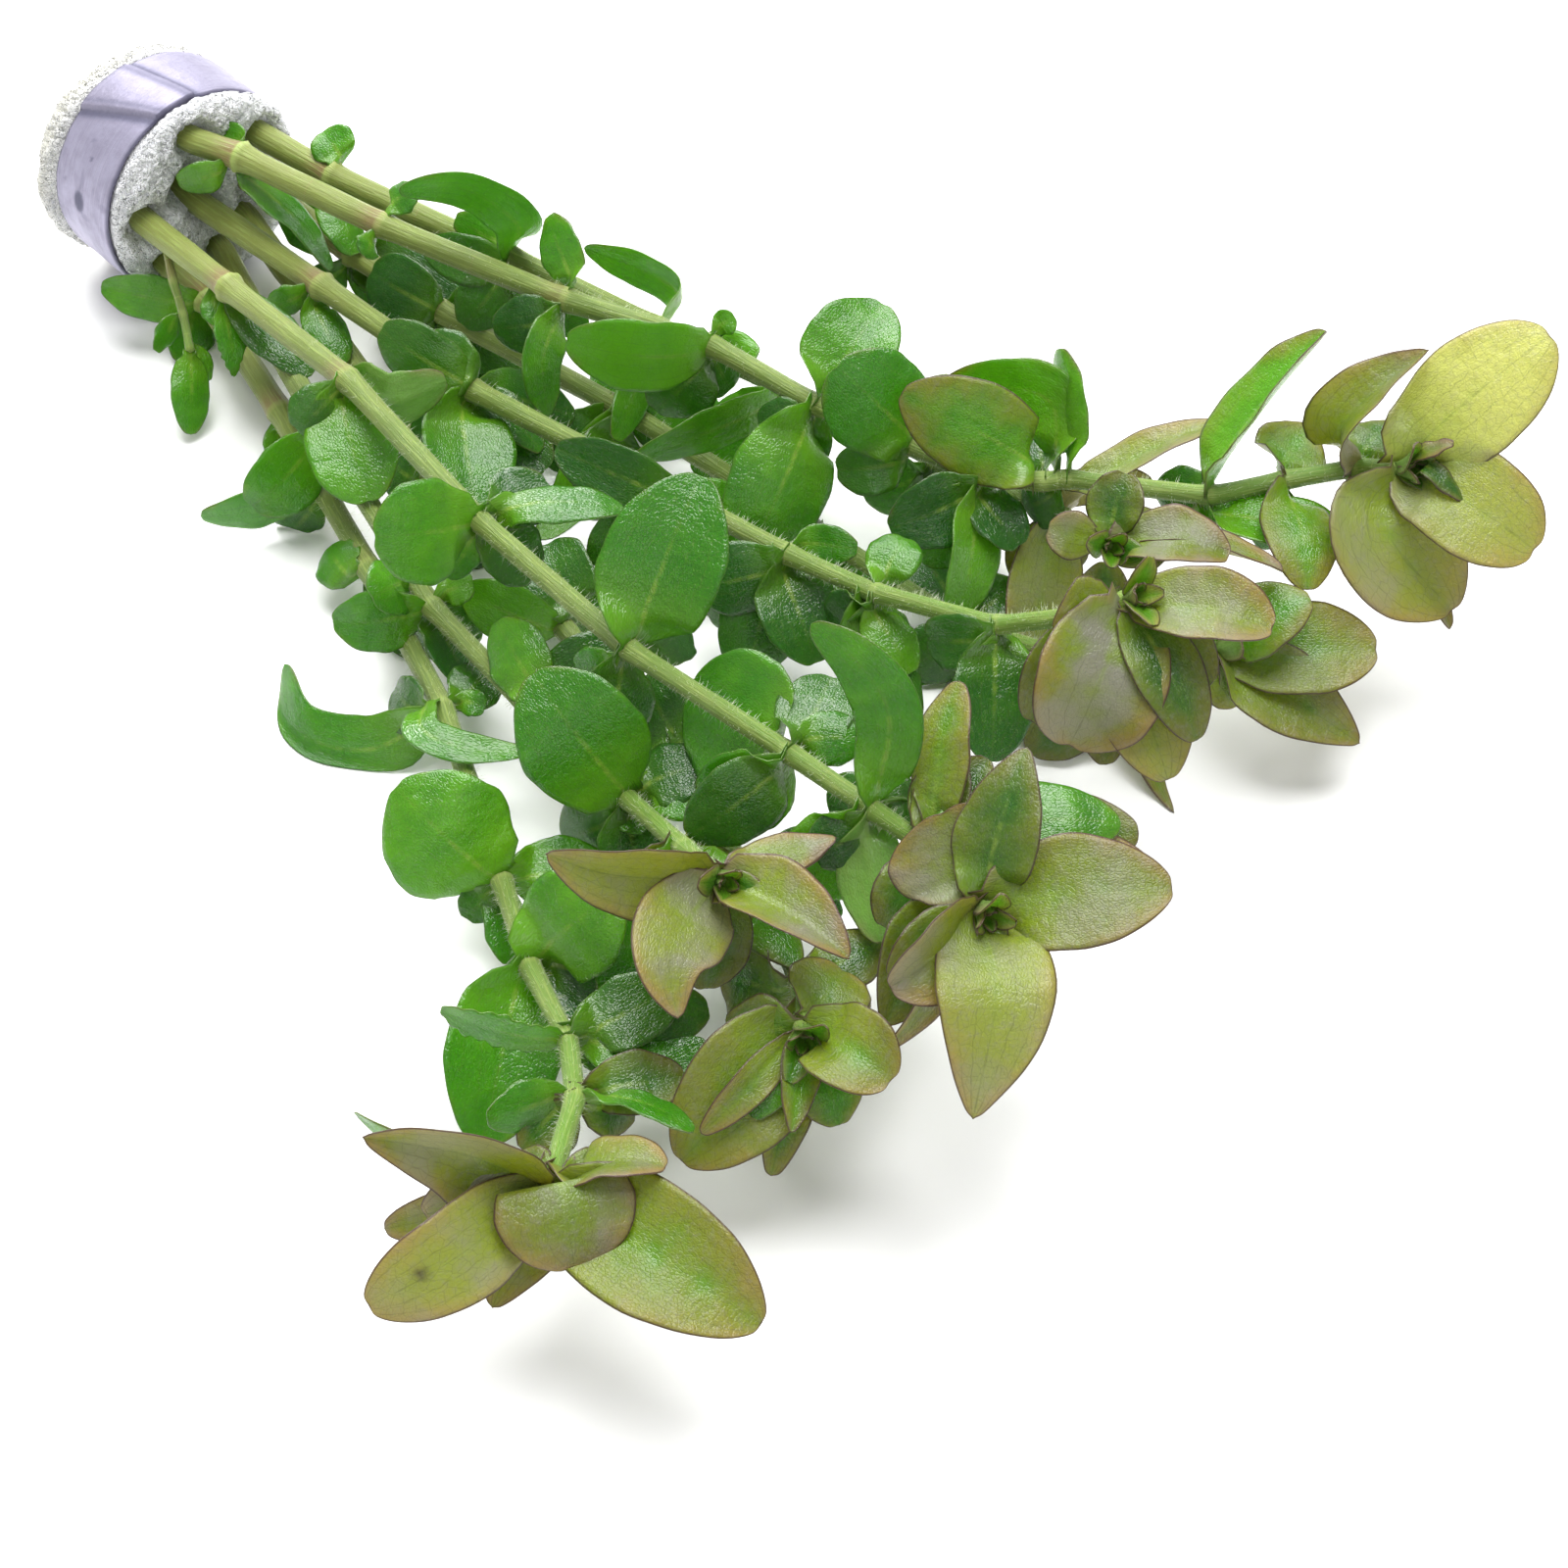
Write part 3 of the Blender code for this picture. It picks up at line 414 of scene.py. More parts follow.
STEMS = (
    StemPlan("1", (-0.7, 22.7), (
        (245, 160, 22.3), (390, 230, 21), (577, 306, 19.5), (725, 352, 18.5), (833, 413, 18), (930, 455, 17.5),
        (1000, 486, 17.5), (1065, 492, 18), (1088, 488, 18), (1235, 506, 19), (1310, 490, 20), (1387, 477, 21.5),
        (1425, 478, 24),
    ), (
        # pale=0.95 paints this backlit leaf's glow into its skin
        Leaf(13, (1583, 342), 21, 12, 12, arch=0.08, age=0.8, outline=ROUND, pale=0.95),
        Leaf(13, (1566, 572), 17, 11, 15, arch=0.1, age=0.8, outline=ROUND, pale=0.3, clear=1.3),
        Leaf(13, (1483, 625), 16, 12.5, 10, via=((1418, 548, 2.5),), age=0.8, outline=OVAL, pale=0.15),
        Leaf(5, (752, 585), 21, 11.5, 15, arch=0.08), Leaf(6, (852, 372), 14, 11.5, arch=0.05, outline=ROUND),
        Leaf(8, (918, 398), 18.5, 10.5, 10, arch=0.03, age=0.45, outline=OVAL),
        Leaf(12, (1457, 351), 16, 7, 40, via=((1372, 432, 1),), age=0.75, outline=POINTED, fold=0.4),
        Leaf(10, (1353, 333), 22, 8, 62, arch=0.0, age=0.3, outline=OVAL, fold=0.3),
        Leaf(3, (556, 468), 18.5, 7.5, 35, via=((548, 385, 3),)), Leaf(4, (575, 347), 18, 9, 30, arch=0.1),
        Leaf(7, (968, 653), 17, 7, 40, arch=0.08), Leaf(11, (1335, 605), 15, 8, 25, arch=0.1, age=0.5, outline=OVAL),
        Leaf(5, (903, 305), 15, 10.5, 10, near=-1, arch=0.05, outline=OVAL, pale=-0.3),
        Leaf(9, (1083, 352), 14.5, 7.5, 62, arch=0.0, age=0.1),
        Leaf(9, (958, 394), 17, 7.5, 20, near=-1, via=((1074, 412, 0), (1028, 395, 0)), age=0.15),
        Leaf(12, (1485, 643), 18, 6, 60, near=-1, arch=0.1, age=0.7),
        Leaf(10, (1385, 562), 17.5, 7, 40, near=-1, arch=0.1, age=0.15),
        Leaf(7, (938, 577), 12, 9, 20, near=-1, arch=0.05), Leaf(1, (345, 275), 17.5, 6, 58, near=-1),
        Leaf(11, (1338, 432), 9, 8, 10, near=-1, age=0.5), Leaf(3, (560, 217), 11, 5.5, 30, near=-1, age=0.1),
        Leaf(6, (975, 383), 8, 5.5, 10, near=-1, age=0.1), Leaf(13, (1487, 455), 8, 2.5, 50, age=0.8),
        Leaf(13, (1505, 503), 9.5, 3, 50, age=0.4, outline=OVAL, pale=-0.8, clear=3.0),
        Leaf(13, (1488, 537), 8.5, 2.5, 40, age=0.4, outline=OVAL, pale=-0.8, clear=3.6),
        Leaf(1, (178, 186), 8, 4, 20, near=-1), Leaf(1, (226, 134), 5, 3.5, near=-1),
        Leaf(2, (428, 192), 6.5, 4, 30, age=0.05), Leaf(2, (370, 262), 5, 3.5, 30),
        Leaf(4, (751, 322), 4.5, 3, near=-1), Leaf(4, (776, 364), 5, 3.5, near=-1),
        Leaf(10, (1226, 548), 5, 4, near=-1, age=0.2),
    ), (
        (3, 500, 335, 10, 7), (4, 665, 420, 11, 8), (4, 745, 400, 8, 6), (5, 770, 430, 8, 6), (5, 800, 470, 9, 7),
        (6, 850, 480, 8, 6), (7, 905, 540, 11, 8), (8, 1052, 425, 9, 7), (9, 1045, 520, 8, 6),
        (10, 1175, 505, 9, 6.5), (11, 1290, 560, 11, 6), (12, 1418, 430, 8, 5), (12, 1400, 505, 7, 5),
        (13, 1445, 420, 7, 4.5), (7, 1040, 560, 9, 6),
    )),
    StemPlan("2", (8.5, 18.4), (
        (340, 180, 17), (522, 263, 14.5), (672, 334, 12.5), (800, 396, 11), (950, 466, 11), (1085, 527, 13),
        (1129, 555, 22),
    ), (
        Leaf(6, (1045, 702), 18.5, 8.5, 20, age=0.75, outline=ROUND, pale=0.15),
        Leaf(6, (1263, 421), 21, 6.5, 55, near=-1, arch=0.04, age=0.75, outline=POINTED),
        Leaf(2, (405, 200), 21, 6, 35, via=((528, 228, 2), (475, 194, 3))),
        Leaf(7, (1258, 568), 14, 7.5, 45, arch=0.1, age=0.85, outline=OVAL, pale=-0.4),
        Leaf(7, (1310, 587), 18, 5.5, 75, arch=0.08, age=0.9, outline=OVAL, fold=0.25, pale=-0.25),
        Leaf(3, (591, 255), 16, 5, 35, near=-1, via=((692, 298, 0), (650, 273, 0))),
        Leaf(6, (1181, 489), 12, 4.5, 150, age=0.8), Leaf(3, (738, 470), 15, 8, 10, near=-1),
        Leaf(4, (645, 465), 14, 6, 40, near=-1), Leaf(4, (705, 485), 10, 8), Leaf(3, (625, 452), 11.5, 4.5, 30),
        Leaf(7, (1066, 539), 7, 5, age=0.8), Leaf(1, (328, 132), 6.5, 5.5, near=-1, age=0.05),
        Leaf(2, (463, 222), 7, 4, 20, near=-1), Leaf(1, (365, 262), 10, 5, 30, near=-1),
    ), (
        (2, 470, 335, 10, 7), (2, 430, 250, 9, 6), (3, 600, 350, 8, 6), (3, 640, 400, 8, 6), (5, 880, 505, 11, 8),
        (5, 965, 545, 11, 8), (6, 1040, 600, 10, 7), (6, 1090, 590, 9, 6), (7, 1200, 550, 9, 7),
        (7, 1150, 480, 8, 6), (2, 600, 340, 13, 7), (5, 1040, 540, 12, 7),
    )),
    StemPlan("3", (-0.9, 12.8), (
        (328, 292, 13), (481, 397, 13.5), (690, 505, 13.5), (804, 566, 14), (893, 605, 15), (1017, 638, 18),
        (1105, 628, 23), (1150, 612, 29),
    ), (
        Leaf(2, (488, 555), 18.5, 10.5, 15, outline=OVAL),
        Leaf(8, (1090, 768), 17, 12.5, 8, arch=0.12, age=0.95, outline=ROUND),
        Leaf(8, (1190, 797), 19, 10, 10, arch=0.1, age=0.7, outline=OVAL, pale=0.25),
        Leaf(8, (1303, 640), 16, 8, 30, arch=0.08, age=0.8, outline=ROUND), Leaf(8, (1072, 645), 9.5, 8, 10, age=0.7),
        Leaf(2, (556, 462), 11.5, 5.5, 35, arch=0.1, age=0.05), Leaf(1, (350, 374), 9.5, 5, 10),
        Leaf(6, (1008, 718), 9.5, 8, 10, near=-1, age=0.1), Leaf(5, (932, 690), 10, 5.5, 20),
        Leaf(3, (640, 590), 14, 9, 20, near=-1), Leaf(3, (770, 560), 12, 9, 20, near=-1),
        Leaf(4, (790, 640), 9, 7, 10, near=-1), Leaf(5, (925, 545), 8, 6, 20, near=-1),
        Leaf(4, (878, 560), 7, 4.5, 10), Leaf(1, (272, 312), 6, 4, 30),
    ), (
        (2, 425, 350, 10, 7.5), (2, 420, 460, 8, 6), (2, 385, 335, 10, 7), (3, 600, 480, 13, 8),
        (3, 565, 455, 11, 7), (4, 735, 645, 13, 9), (4, 835, 680, 13, 9), (4, 700, 600, 12, 8),
        (5, 925, 770, 12, 8), (5, 850, 640, 10, 8), (6, 985, 735, 12, 7), (6, 945, 650, 8, 6),
        (7, 1050, 740, 11, 8), (8, 1240, 700, 13, 8), (7, 1180, 720, 9, 6), (8, 1225, 760, 14, 7),
        (7, 1130, 785, 13, 7), (2, 560, 480, 13, 8), (2, 590, 425, 14, 7), (3, 600, 575, 13, 8),
        (4, 760, 690, 15, 9), (5, 900, 690, 10, 8), (6, 1010, 780, 15, 9),
    )),
    StemPlan("4", (-8.8, 14.8), (
        (233, 293, 17), (355, 388, 19.5), (490, 532, 21.5), (640, 662, 23), (805, 768, 24), (890, 826, 24.5),
        (950, 866, 25), (1000, 925, 29),
    ), (
        Leaf(8, (992, 1146), 21, 10.5, 5, via=((1016, 1018, 2.5),), age=0.8, outline=POINTED, pale=0.2),
        Leaf(8, (1200, 905), 18.5, 10.5, 15, arch=0.06, age=0.75, outline=OVAL, pale=-0.35),
        Leaf(8, (960, 826), 10, 13, 10, near=-1, arch=-0.05, age=0.85, outline=ROUND),
        Leaf(8, (905, 1010), 13, 8, 35, arch=0.1, age=0.95, outline=OVAL, fold=0.3),
        Leaf(4, (716, 482), 20, 12.5, 8, outline=OVAL), Leaf(3, (379, 548), 13, 11, 10, arch=0.1),
        Leaf(6, (826, 633), 21, 6.5, 20, via=((908, 735, 2), (878, 678, 2))),
        Leaf(2, (456, 385), 12, 6.5, 150, via=((402, 409, 2),), age=0.1),
        Leaf(5, (705, 700), 14.5, 14, 10, near=-1, arch=0.05), Leaf(2, (376, 515), 14, 10, 10, near=-1),
        Leaf(7, (1150, 838), 19, 8.5, 20, near=-1, arch=0.12, age=0.05),
        Leaf(7, (976, 688), 17, 6, 30, near=-1, arch=0.05, age=0.6),
        Leaf(3, (640, 521), 16, 5.5, 45, near=-1, arch=0.08), Leaf(6, (903, 966), 12, 7, 165, arch=0.05, age=0.1),
        Leaf(6, (812, 915), 13, 9, 10, near=-1), Leaf(8, (898, 1088), 17.5, 5, 60, age=0.9),
        Leaf(5, (715, 820), 13, 9, 20, near=-1), Leaf(7, (1176, 880), 21, 6, 20, near=-1, age=0.9),
        Leaf(5, (888, 752), 8.5, 5.5, 10, near=-1, age=0.1), Leaf(4, (583, 680), 7, 4.5, 20, near=-1),
        Leaf(1, (240, 388), 9, 4, 20, outline=POINTED, torn=0.25), Leaf(1, (224, 334), 5, 3.5, 10),
        Leaf(3, (453, 592), 8, 4, 30, near=-1),
    ), (
        (2, 300, 440, 8, 6), (3, 560, 490, 9, 7), (3, 545, 590, 10, 7), (4, 620, 760, 11, 8), (4, 700, 630, 12, 8),
        (5, 850, 690, 11, 8), (6, 830, 880, 8, 6), (6, 910, 800, 8, 6), (6, 845, 800, 8, 6), (7, 1010, 770, 11, 8),
        (7, 900, 950, 9, 6), (8, 905, 1000, 9, 6), (8, 1050, 760, 14, 8), (1, 320, 385, 11, 6),
        (7, 1165, 850, 21, 10), (8, 900, 1050, 15, 9), (5, 700, 855, 14, 8), (6, 940, 815, 7, 6),
        (7, 985, 770, 9, 6),
    )),
    StemPlan("5", (0.4, 5.2), (
        (333, 443, 11), (440, 619, 9.5), (540, 722, 11), (640, 815, 14), (700, 868, 18), (733, 895, 23),
    ), (
        Leaf(1, (255, 517), 12, 8, 20),
        Leaf(6, (550, 875), 18, 8, 35, arch=0.08, age=0.85, outline=POINTED, fold=0.3, pale=0.2),
        Leaf(6, (868, 983), 17, 7.5, 30, arch=0.1, age=0.9, outline=POINTED, fold=0.2),
        Leaf(6, (695, 1042), 16.5, 9, 10, via=((684, 975, 2),), age=0.85, outline=POINTED, pale=0.15),
        Leaf(6, (857, 852), 13, 5, 30, near=-1, arch=0.0, age=0.85, outline=POINTED),
        Leaf(4, (540, 683), 17.5, 12.5, 8, arch=0.1, outline=OVAL), Leaf(2, (335, 637), 12, 7, 30, near=-1),
        Leaf(4, (755, 818), 12, 6.5, 35), Leaf(5, (820, 985), 14, 7, 30, near=-1, age=0.2),
        Leaf(5, (622, 1035), 17, 9, 20, near=-1, age=0.05), Leaf(2, (378, 610), 9, 6.5, 10),
        Leaf(1, (345, 555), 11, 7, 20, near=-1), Leaf(3, (508, 632), 11, 7, 20, near=-1),
        Leaf(6, (690, 915), 5, 4, 20, age=0.7), Leaf(2, (485, 595), 6, 4, 20), Leaf(4, (660, 850), 5, 4, 10),
    ), (
        (2, 480, 710, 10, 7), (3, 600, 760, 8, 6), (3, 660, 660, 11, 8), (4, 575, 855, 11, 8),
        (4, 650, 900, 10, 8), (4, 720, 780, 9, 7), (5, 765, 965, 13, 9), (5, 640, 970, 12, 8),
        (6, 760, 960, 11, 7), (6, 720, 1010, 12, 7), (2, 490, 660, 9, 7),
    )),
    StemPlan("6", (-7.0, 7.2), (
        (212, 305, 5.2), (287, 422, 4.5), (330, 500, 5), (376, 580, 6), (452, 722, 7), (512, 898, 9),
        (540, 985, 10.5), (580, 1062, 12.5), (587, 1120, 14), (560, 1213, 18),
    ), (
        Leaf(10, (780, 1350), 24, 11.5, 5, arch=0.08, age=0.65, outline=OVAL, clear=-0.6),
        Leaf(10, (590, 1328), 11, 12, 5, arch=0.12, age=0.8, outline=ROUND, clear=5.6),
        Leaf(10, (372, 1338), 21, 8.5, 15, arch=0.12, age=0.85, outline=ROUND, spot=(0.7, 0.1), pale=0.2),
        Leaf(10, (365, 1167), 19, 8.5, 45, via=((465, 1175, 2),), age=0.85, outline=POINTED, fold=0.2),
        Leaf(10, (683, 1192), 12, 7.5, 45, arch=0.1, age=0.85, outline=OVAL, fold=0.15),
        Leaf(10, (432, 1265), 12.5, 7, 20, arch=0.12, age=0.95, outline=OVAL, clear=3.5),
        Leaf(10, (500, 1338), 14, 8, 0, near=-1, age=0.8),
        Leaf(6, (400, 800), 15.5, 13.5, 8, arch=0.08, outline=OVAL), Leaf(7, (630, 908), 13, 11, 10, arch=0.1),
        Leaf(7, (490, 1172), 19, 11.5, 10, near=-1, arch=0.05),
        Leaf(5, (290, 675), 22, 7.5, 25, near=-1, via=((375, 765, 0), (305, 745, 0))),
        Leaf(5, (548, 766), 14, 4, 30, via=((430, 745, 3), (480, 765, 2))),
        Leaf(8, (725, 1062), 14, 5, 30, near=-1, via=((662, 1084, 1),)), Leaf(3, (202, 525), 15, 5.5, 45, near=-1),
        Leaf(8, (447, 1026), 14, 5, 50, outline=OVAL, torn=0.2), Leaf(1, (100, 292), 13, 5.5, 10, arch=0.05),
        Leaf(9, (712, 1153), 13, 4, 60), Leaf(9, (493, 1143), 9.5, 5, 30), Leaf(6, (630, 890), 12.5, 8, 20, near=-1),
        Leaf(10, (388, 1255), 17, 5, 10, near=-1, age=0.8), Leaf(10, (357, 1135), 21, 4, 60, near=-1, age=0.1),
        Leaf(6, (522, 987), 9.5, 4.5, 20, near=-1), Leaf(7, (612, 1020), 9, 6, 30, near=-1),
        Leaf(1, (188, 378), 8, 6, 20), Leaf(2, (285, 470), 6, 4, 20, near=-1), Leaf(4, (335, 555), 8, 6, 20, near=-1),
        Leaf(4, (450, 640), 8, 5, 20), Leaf(5, (497, 722), 5, 3, 10),
    ), (
        (3, 290, 550, 9, 5), (4, 440, 690, 8, 6), (6, 475, 940, 6, 4.5), (8, 650, 1075, 9, 6),
        (7, 640, 1050, 10, 6), (9, 540, 1165, 8, 6), (9, 650, 1140, 8, 5), (5, 400, 700, 8, 6),
        (5, 500, 680, 8, 6), (10, 650, 1195, 9, 6), (10, 530, 1180, 7, 5), (8, 725, 1030, 15, 8),
        (8, 690, 1010, 12, 7), (7, 680, 1020, 14, 8), (9, 700, 1100, 11, 6), (9, 530, 1175, 7, 6),
    )),
    StemPlan("7", (4.9, 7.6), (
        (440, 480, 5.5), (575, 640, 4.0), (690, 775, 8), (770, 905, 11), (815, 1000, 14.5), (820, 1050, 18),
    ), (
        Leaf(6, (766, 1143), 10, 4.5, age=0.1), Leaf(6, (692, 1188), 17.5, 11, 10, arch=0.1, age=0.65, outline=OVAL),
        Leaf(6, (912, 1105), 12, 8, 15, arch=0.12, age=0.65, outline=ROUND),
        Leaf(6, (862, 988), 8.5, 8, 10, near=-1, age=0.65), Leaf(6, (785, 1203), 14.5, 5, 20, age=0.5),
        Leaf(6, (713, 1158), 12.5, 3.5, 10, arch=0.1, age=0.7), Leaf(6, (858, 1152), 11, 7.5, 15, near=-1, age=0.3),
        Leaf(6, (806, 1160), 11, 4, 20, near=-1, age=0.5), Leaf(2, (470, 600), 10, 7, 20, near=-1),
        Leaf(3, (760, 830), 13, 8, 20, near=-1), Leaf(4, (640, 960), 12, 8, 20, near=-1),
    ), (
        (1, 540, 525, 13, 8), (1, 500, 610, 11, 8), (2, 560, 555, 11, 8), (2, 650, 600, 12, 8),
        (3, 655, 690, 11, 8.5), (3, 765, 705, 12, 9), (3, 740, 690, 12, 9), (4, 860, 860, 12, 8),
        (5, 735, 990, 11, 8), (5, 890, 1010, 10, 7), (5, 905, 960, 10, 6), (6, 740, 1040, 9, 6),
        (1, 400, 470, 7, 6), (4, 860, 940, 10, 7),
    )),
    StemPlan("8", (6.5, 12.4), (
        (360, 258, 9), (450, 318, 7), (640, 420, 5.5), (830, 540, 5.5), (985, 640, 6), (1120, 680, 7.5),
        (1240, 662, 13),
    ), (
        Leaf(7, (1408, 662), 17, 10, 15, arch=0.06, age=0.65, outline=ROUND, pale=-0.2),
        Leaf(7, (1392, 760), 18, 9, 20, arch=0.08, age=0.7, outline=POINTED, pale=-0.45),
        Leaf(5, (1118, 770), 18, 8, 20, near=-1, age=0.55, outline=OVAL, pale=0.4),
        Leaf(6, (1202, 847), 18, 3.5, 50, age=0.7), Leaf(1, (508, 352), 18, 8, 15), Leaf(2, (545, 385), 12, 7, 10),
        Leaf(7, (1268, 722), 8, 6, 10, near=-1, age=0.6), Leaf(4, (880, 640), 12, 8, 20, near=-1),
        Leaf(5, (960, 720), 11, 8, 20, near=-1), Leaf(7, (1340, 612), 12, 8, 20, near=-1, age=0.4),
        Leaf(3, (610, 370), 12, 7, 20, near=-1), Leaf(3, (560, 600), 14, 8, 20),
        Leaf(4, (720, 560), 12, 8, 20, near=-1),
    ), (
        (1, 430, 330, 14, 8), (1, 285, 205, 11, 6.5), (1, 300, 310, 9, 6), (2, 375, 275, 11, 8),
        (2, 540, 330, 10, 7), (2, 390, 360, 10, 7), (3, 700, 440, 9, 7), (3, 560, 480, 11, 7),
        (3, 600, 540, 14, 8), (4, 870, 625, 12, 8), (4, 800, 480, 10, 7), (4, 730, 640, 14, 9),
        (5, 940, 560, 12, 8), (5, 1050, 590, 11, 8), (5, 960, 650, 8, 6), (6, 1010, 700, 12, 8),
        (6, 1130, 570, 11, 7), (6, 1050, 770, 13, 8), (7, 1300, 700, 9, 7), (1, 505, 350, 18, 9),
        (2, 535, 392, 12, 8), (4, 780, 690, 17, 10), (4, 720, 665, 16, 9), (5, 920, 680, 9, 7),
    )),
    StemPlan("shoot", None, (
        (168, 243, 15.2), (176, 285, 12.5), (187, 320, 10), (194, 358, 8),
    ), (
        Leaf(3, (194, 446), 10, 4.8, 20, age=0.05), Leaf(2, (157, 360), 6, 3, 40),
        Leaf(3, (213, 392), 5, 3, 20, near=-1),
    )),
)


class LeafPose:
    """A leaf's midrib and the way its blade turns, after one small change of its pose."""

    frames: int = 25
    chord_share: float = 0.96

    def __init__(self, stem: StemPlan, leaf: Leaf, change: Change) -> None:
        """Pose a leaf on its stem.

        Args:
            stem: The stem it grows from.
            leaf: The leaf as laid out.
            change: The change of its pose.
        """
        axis = stem.axis(leaf.joint)
        root = stem.joints[leaf.joint] - axis * change.lower
        length = leaf.length * change.size
        tip = self.find_tip(root, leaf, leaf.length * self.chord_share, change.nearer)
        if change.size < 1.0:
            tip = root + (tip - root) * change.size
        chord = tip - root
        lean = chord
        if leaf.via:
            lean = VIEW.beside(*leaf.via[0][:2], (tip + root) / 2, leaf.via[0][2]) - root
        hold = 0.3 if leaf.joint == len(stem.joints) - 1 else 1.0
        out = lean - axis * (lean @ axis) * hold
        if np.linalg.norm(out) < 0.25 * np.linalg.norm(chord):
            out = out + unit(VIEW.place - root) * 0.2 * np.linalg.norm(chord)
        self.leaf = leaf
        self.out = unit(out)
        self.root = root
        self.axis = axis
        self.stem_radius = stem.radius(leaf.joint)
        self.base = root + self.out * (self.stem_radius * SIZES.joint_swell + SIZES.leaf_gap)
        self.width = leaf.width * change.size
        self.length = length
        self.turn = math.radians(leaf.face + change.turn)
        if leaf.via:
            self.curve = self.curve_by_points(leaf, tip, change.size)
        else:
            self.curve = self.curve_by_arch(tip, (leaf.arch + change.lift) * length, length)
        self.set_frames()

    @staticmethod
    def find_tip(root: Vec, leaf: Leaf, reach: float, nearer: float) -> Vec:
        """Find the place on the tip's line of sight that is as far off as the leaf is long.

        Args:
            root: The leaf's joint.
            leaf: The leaf as laid out.
            reach: The distance from the joint to the tip.
            nearer: How much nearer to the camera the tip is moved.

        Returns:
            The tip's place.
        """
        line = VIEW.sight(*leaf.tip_px)
        offset = (VIEW.place - root) @ line
        spare = offset ** 2 - (VIEW.place - root) @ (VIEW.place - root) + reach ** 2
        distance = -offset - leaf.near * math.sqrt(max(0.0, spare))
        return VIEW.place + line * (distance - nearer)

    def curve_by_points(self, leaf: Leaf, tip: Vec, size: float) -> Vec:
        """Draw a midrib through the picture points given for it.

        Args:
            leaf: The leaf as laid out.
            tip: The tip's place.
            size: The share of its size that it keeps.

        Returns:
            The midrib's points.
        """
        points = [self.base]
        for number, (column, row, nearer) in enumerate(leaf.via, 1):
            share = number / (len(leaf.via) + 1)
            place = VIEW.beside(column, row, self.base + (tip - self.base) * share, nearer)
            points.append(self.base + (place - self.base) * size)
        return np.array(spline(points + [tip], 12))

    def curve_by_arch(self, tip: Vec, bow: float, length: float) -> Vec:
        """Draw a midrib that leaves the stem outward and arches to its tip.

        Args:
            tip: The tip's place.
            bow: How far it bulges in millimetres.
            length: The leaf's length.

        Returns:
            The midrib's points.
        """
        chord = tip - self.base
        across = unit(np.cross(chord, VIEW.place - (tip + self.base) / 2))
        upright = unit(np.cross(across, chord))
        face = upright * math.cos(self.turn) - across * math.sin(self.turn)
        first = self.base + chord * 0.28 + face * bow * 4 / 3 + self.out * length * 0.05
        second = self.base + chord * 0.70 + face * bow * 4 / 3
        t = np.linspace(0, 1, self.frames)[:, None]
        return (self.base * (1 - t) ** 3 + first * 3 * t * (1 - t) ** 2
                + second * 3 * t ** 2 * (1 - t) + tip * t ** 3)

    def set_frames(self, clasp_share: float = 0.3) -> None:
        """Find the direction along the midrib and across the blade at even steps.

        Args:
            clasp_share: The part of the length that turns from clasping the stem to the blade's own face.
        """
        reach = reach_of(self.curve)
        self.curve = read_off(self.curve, reach, np.linspace(0, reach[-1], self.frames))
        self.along = headings(self.curve)
        middle = self.frames // 2
        across = unit(np.cross(self.along[middle], VIEW.place - self.curve[middle]))
        upright = np.cross(across, self.along[middle])
        sides = [across] * self.frames
        sides[middle] = across * math.cos(self.turn) + upright * math.sin(self.turn)
        for step in list(range(middle + 1, self.frames)) + list(range(middle - 1, -1, -1)):
            before = sides[step - 1] if step > middle else sides[step + 1]
            sides[step] = unit(before - self.along[step] * (before @ self.along[step]))
        clasp = np.cross(self.axis, self.out)
        for step in range(self.frames):
            share = max(0.0, 1 - step / (self.frames - 1) / clasp_share)
            share = share * share * (3 - 2 * share)
            towards = clasp if clasp @ sides[step] >= 0 else -clasp
            side = sides[step] * (1 - share) + towards * share
            sides[step] = unit(side - self.along[step] * (side @ self.along[step]))
        self.sides = np.array(sides)

    def at(self, s: float) -> tuple[Vec, Vec, Vec]:
        """Find where the blade is at a part of its length.

        Args:
            s: The part of the length.

        Returns:
            The midrib's place, the direction across and the upper side's normal.
        """
        step = min(self.frames - 1, max(0.0, s * (self.frames - 1)))
        low = min(self.frames - 2, int(step))
        share = step - low
        place = self.curve[low] * (1 - share) + self.curve[low + 1] * share
        side = unit(self.sides[low] * (1 - share) + self.sides[low + 1] * share)
        along = unit(self.along[low] * (1 - share) + self.along[low + 1] * share)
        return place, side, np.cross(side, along)

    def solid(self, stations: tuple[float, ...], grow: float = 0.0, foot: bool = False) -> Solid:
        """Make the plain blade, or a larger one that tests its clearance.

        Args:
            stations: The parts of the length that have a ring of corners.
            grow: How much larger it is on every side.
            foot: Whether it reaches into the stem.

        Returns:
            Its corners and faces.
        """
        corners = []
        half = SIZES.leaf_thickness / 2 + grow
        if foot:
            side = self.at(0)[1]
            up = np.cross(side, self.out)
            reach = self.width * SIZES.leaf_foot / 2
            inside = self.root + self.out * 0.2
            corners += [inside + side * reach, inside + up * half, inside - side * reach, inside - up * half]
        for s in stations:
            place, side, up = self.at(s)
            reach = self.width * SIZES.leaf_width(s) / 2 + grow
            middle = SIZES.above_floor(place, half)
            left = SIZES.above_floor(place + side * reach + up * reach * SIZES.leaf_cup, 0.0)
            right = SIZES.above_floor(place - side * reach + up * reach * SIZES.leaf_cup, 0.0)
            corners += [left, middle + up * half, right, middle - up * half]
        tip = SIZES.above_floor(self.at(1)[0] + self.along[-1] * grow, 0.0)
        faces = [(3, 2, 1, 0)]
        for ring in range(0, len(corners) - 4, 4):
            for side_number in range(4):
                after = (side_number + 1) % 4
                faces.append((ring + side_number, ring + after, ring + 4 + after, ring + 4 + side_number))
        last = len(corners) - 4
        for side_number in range(4):
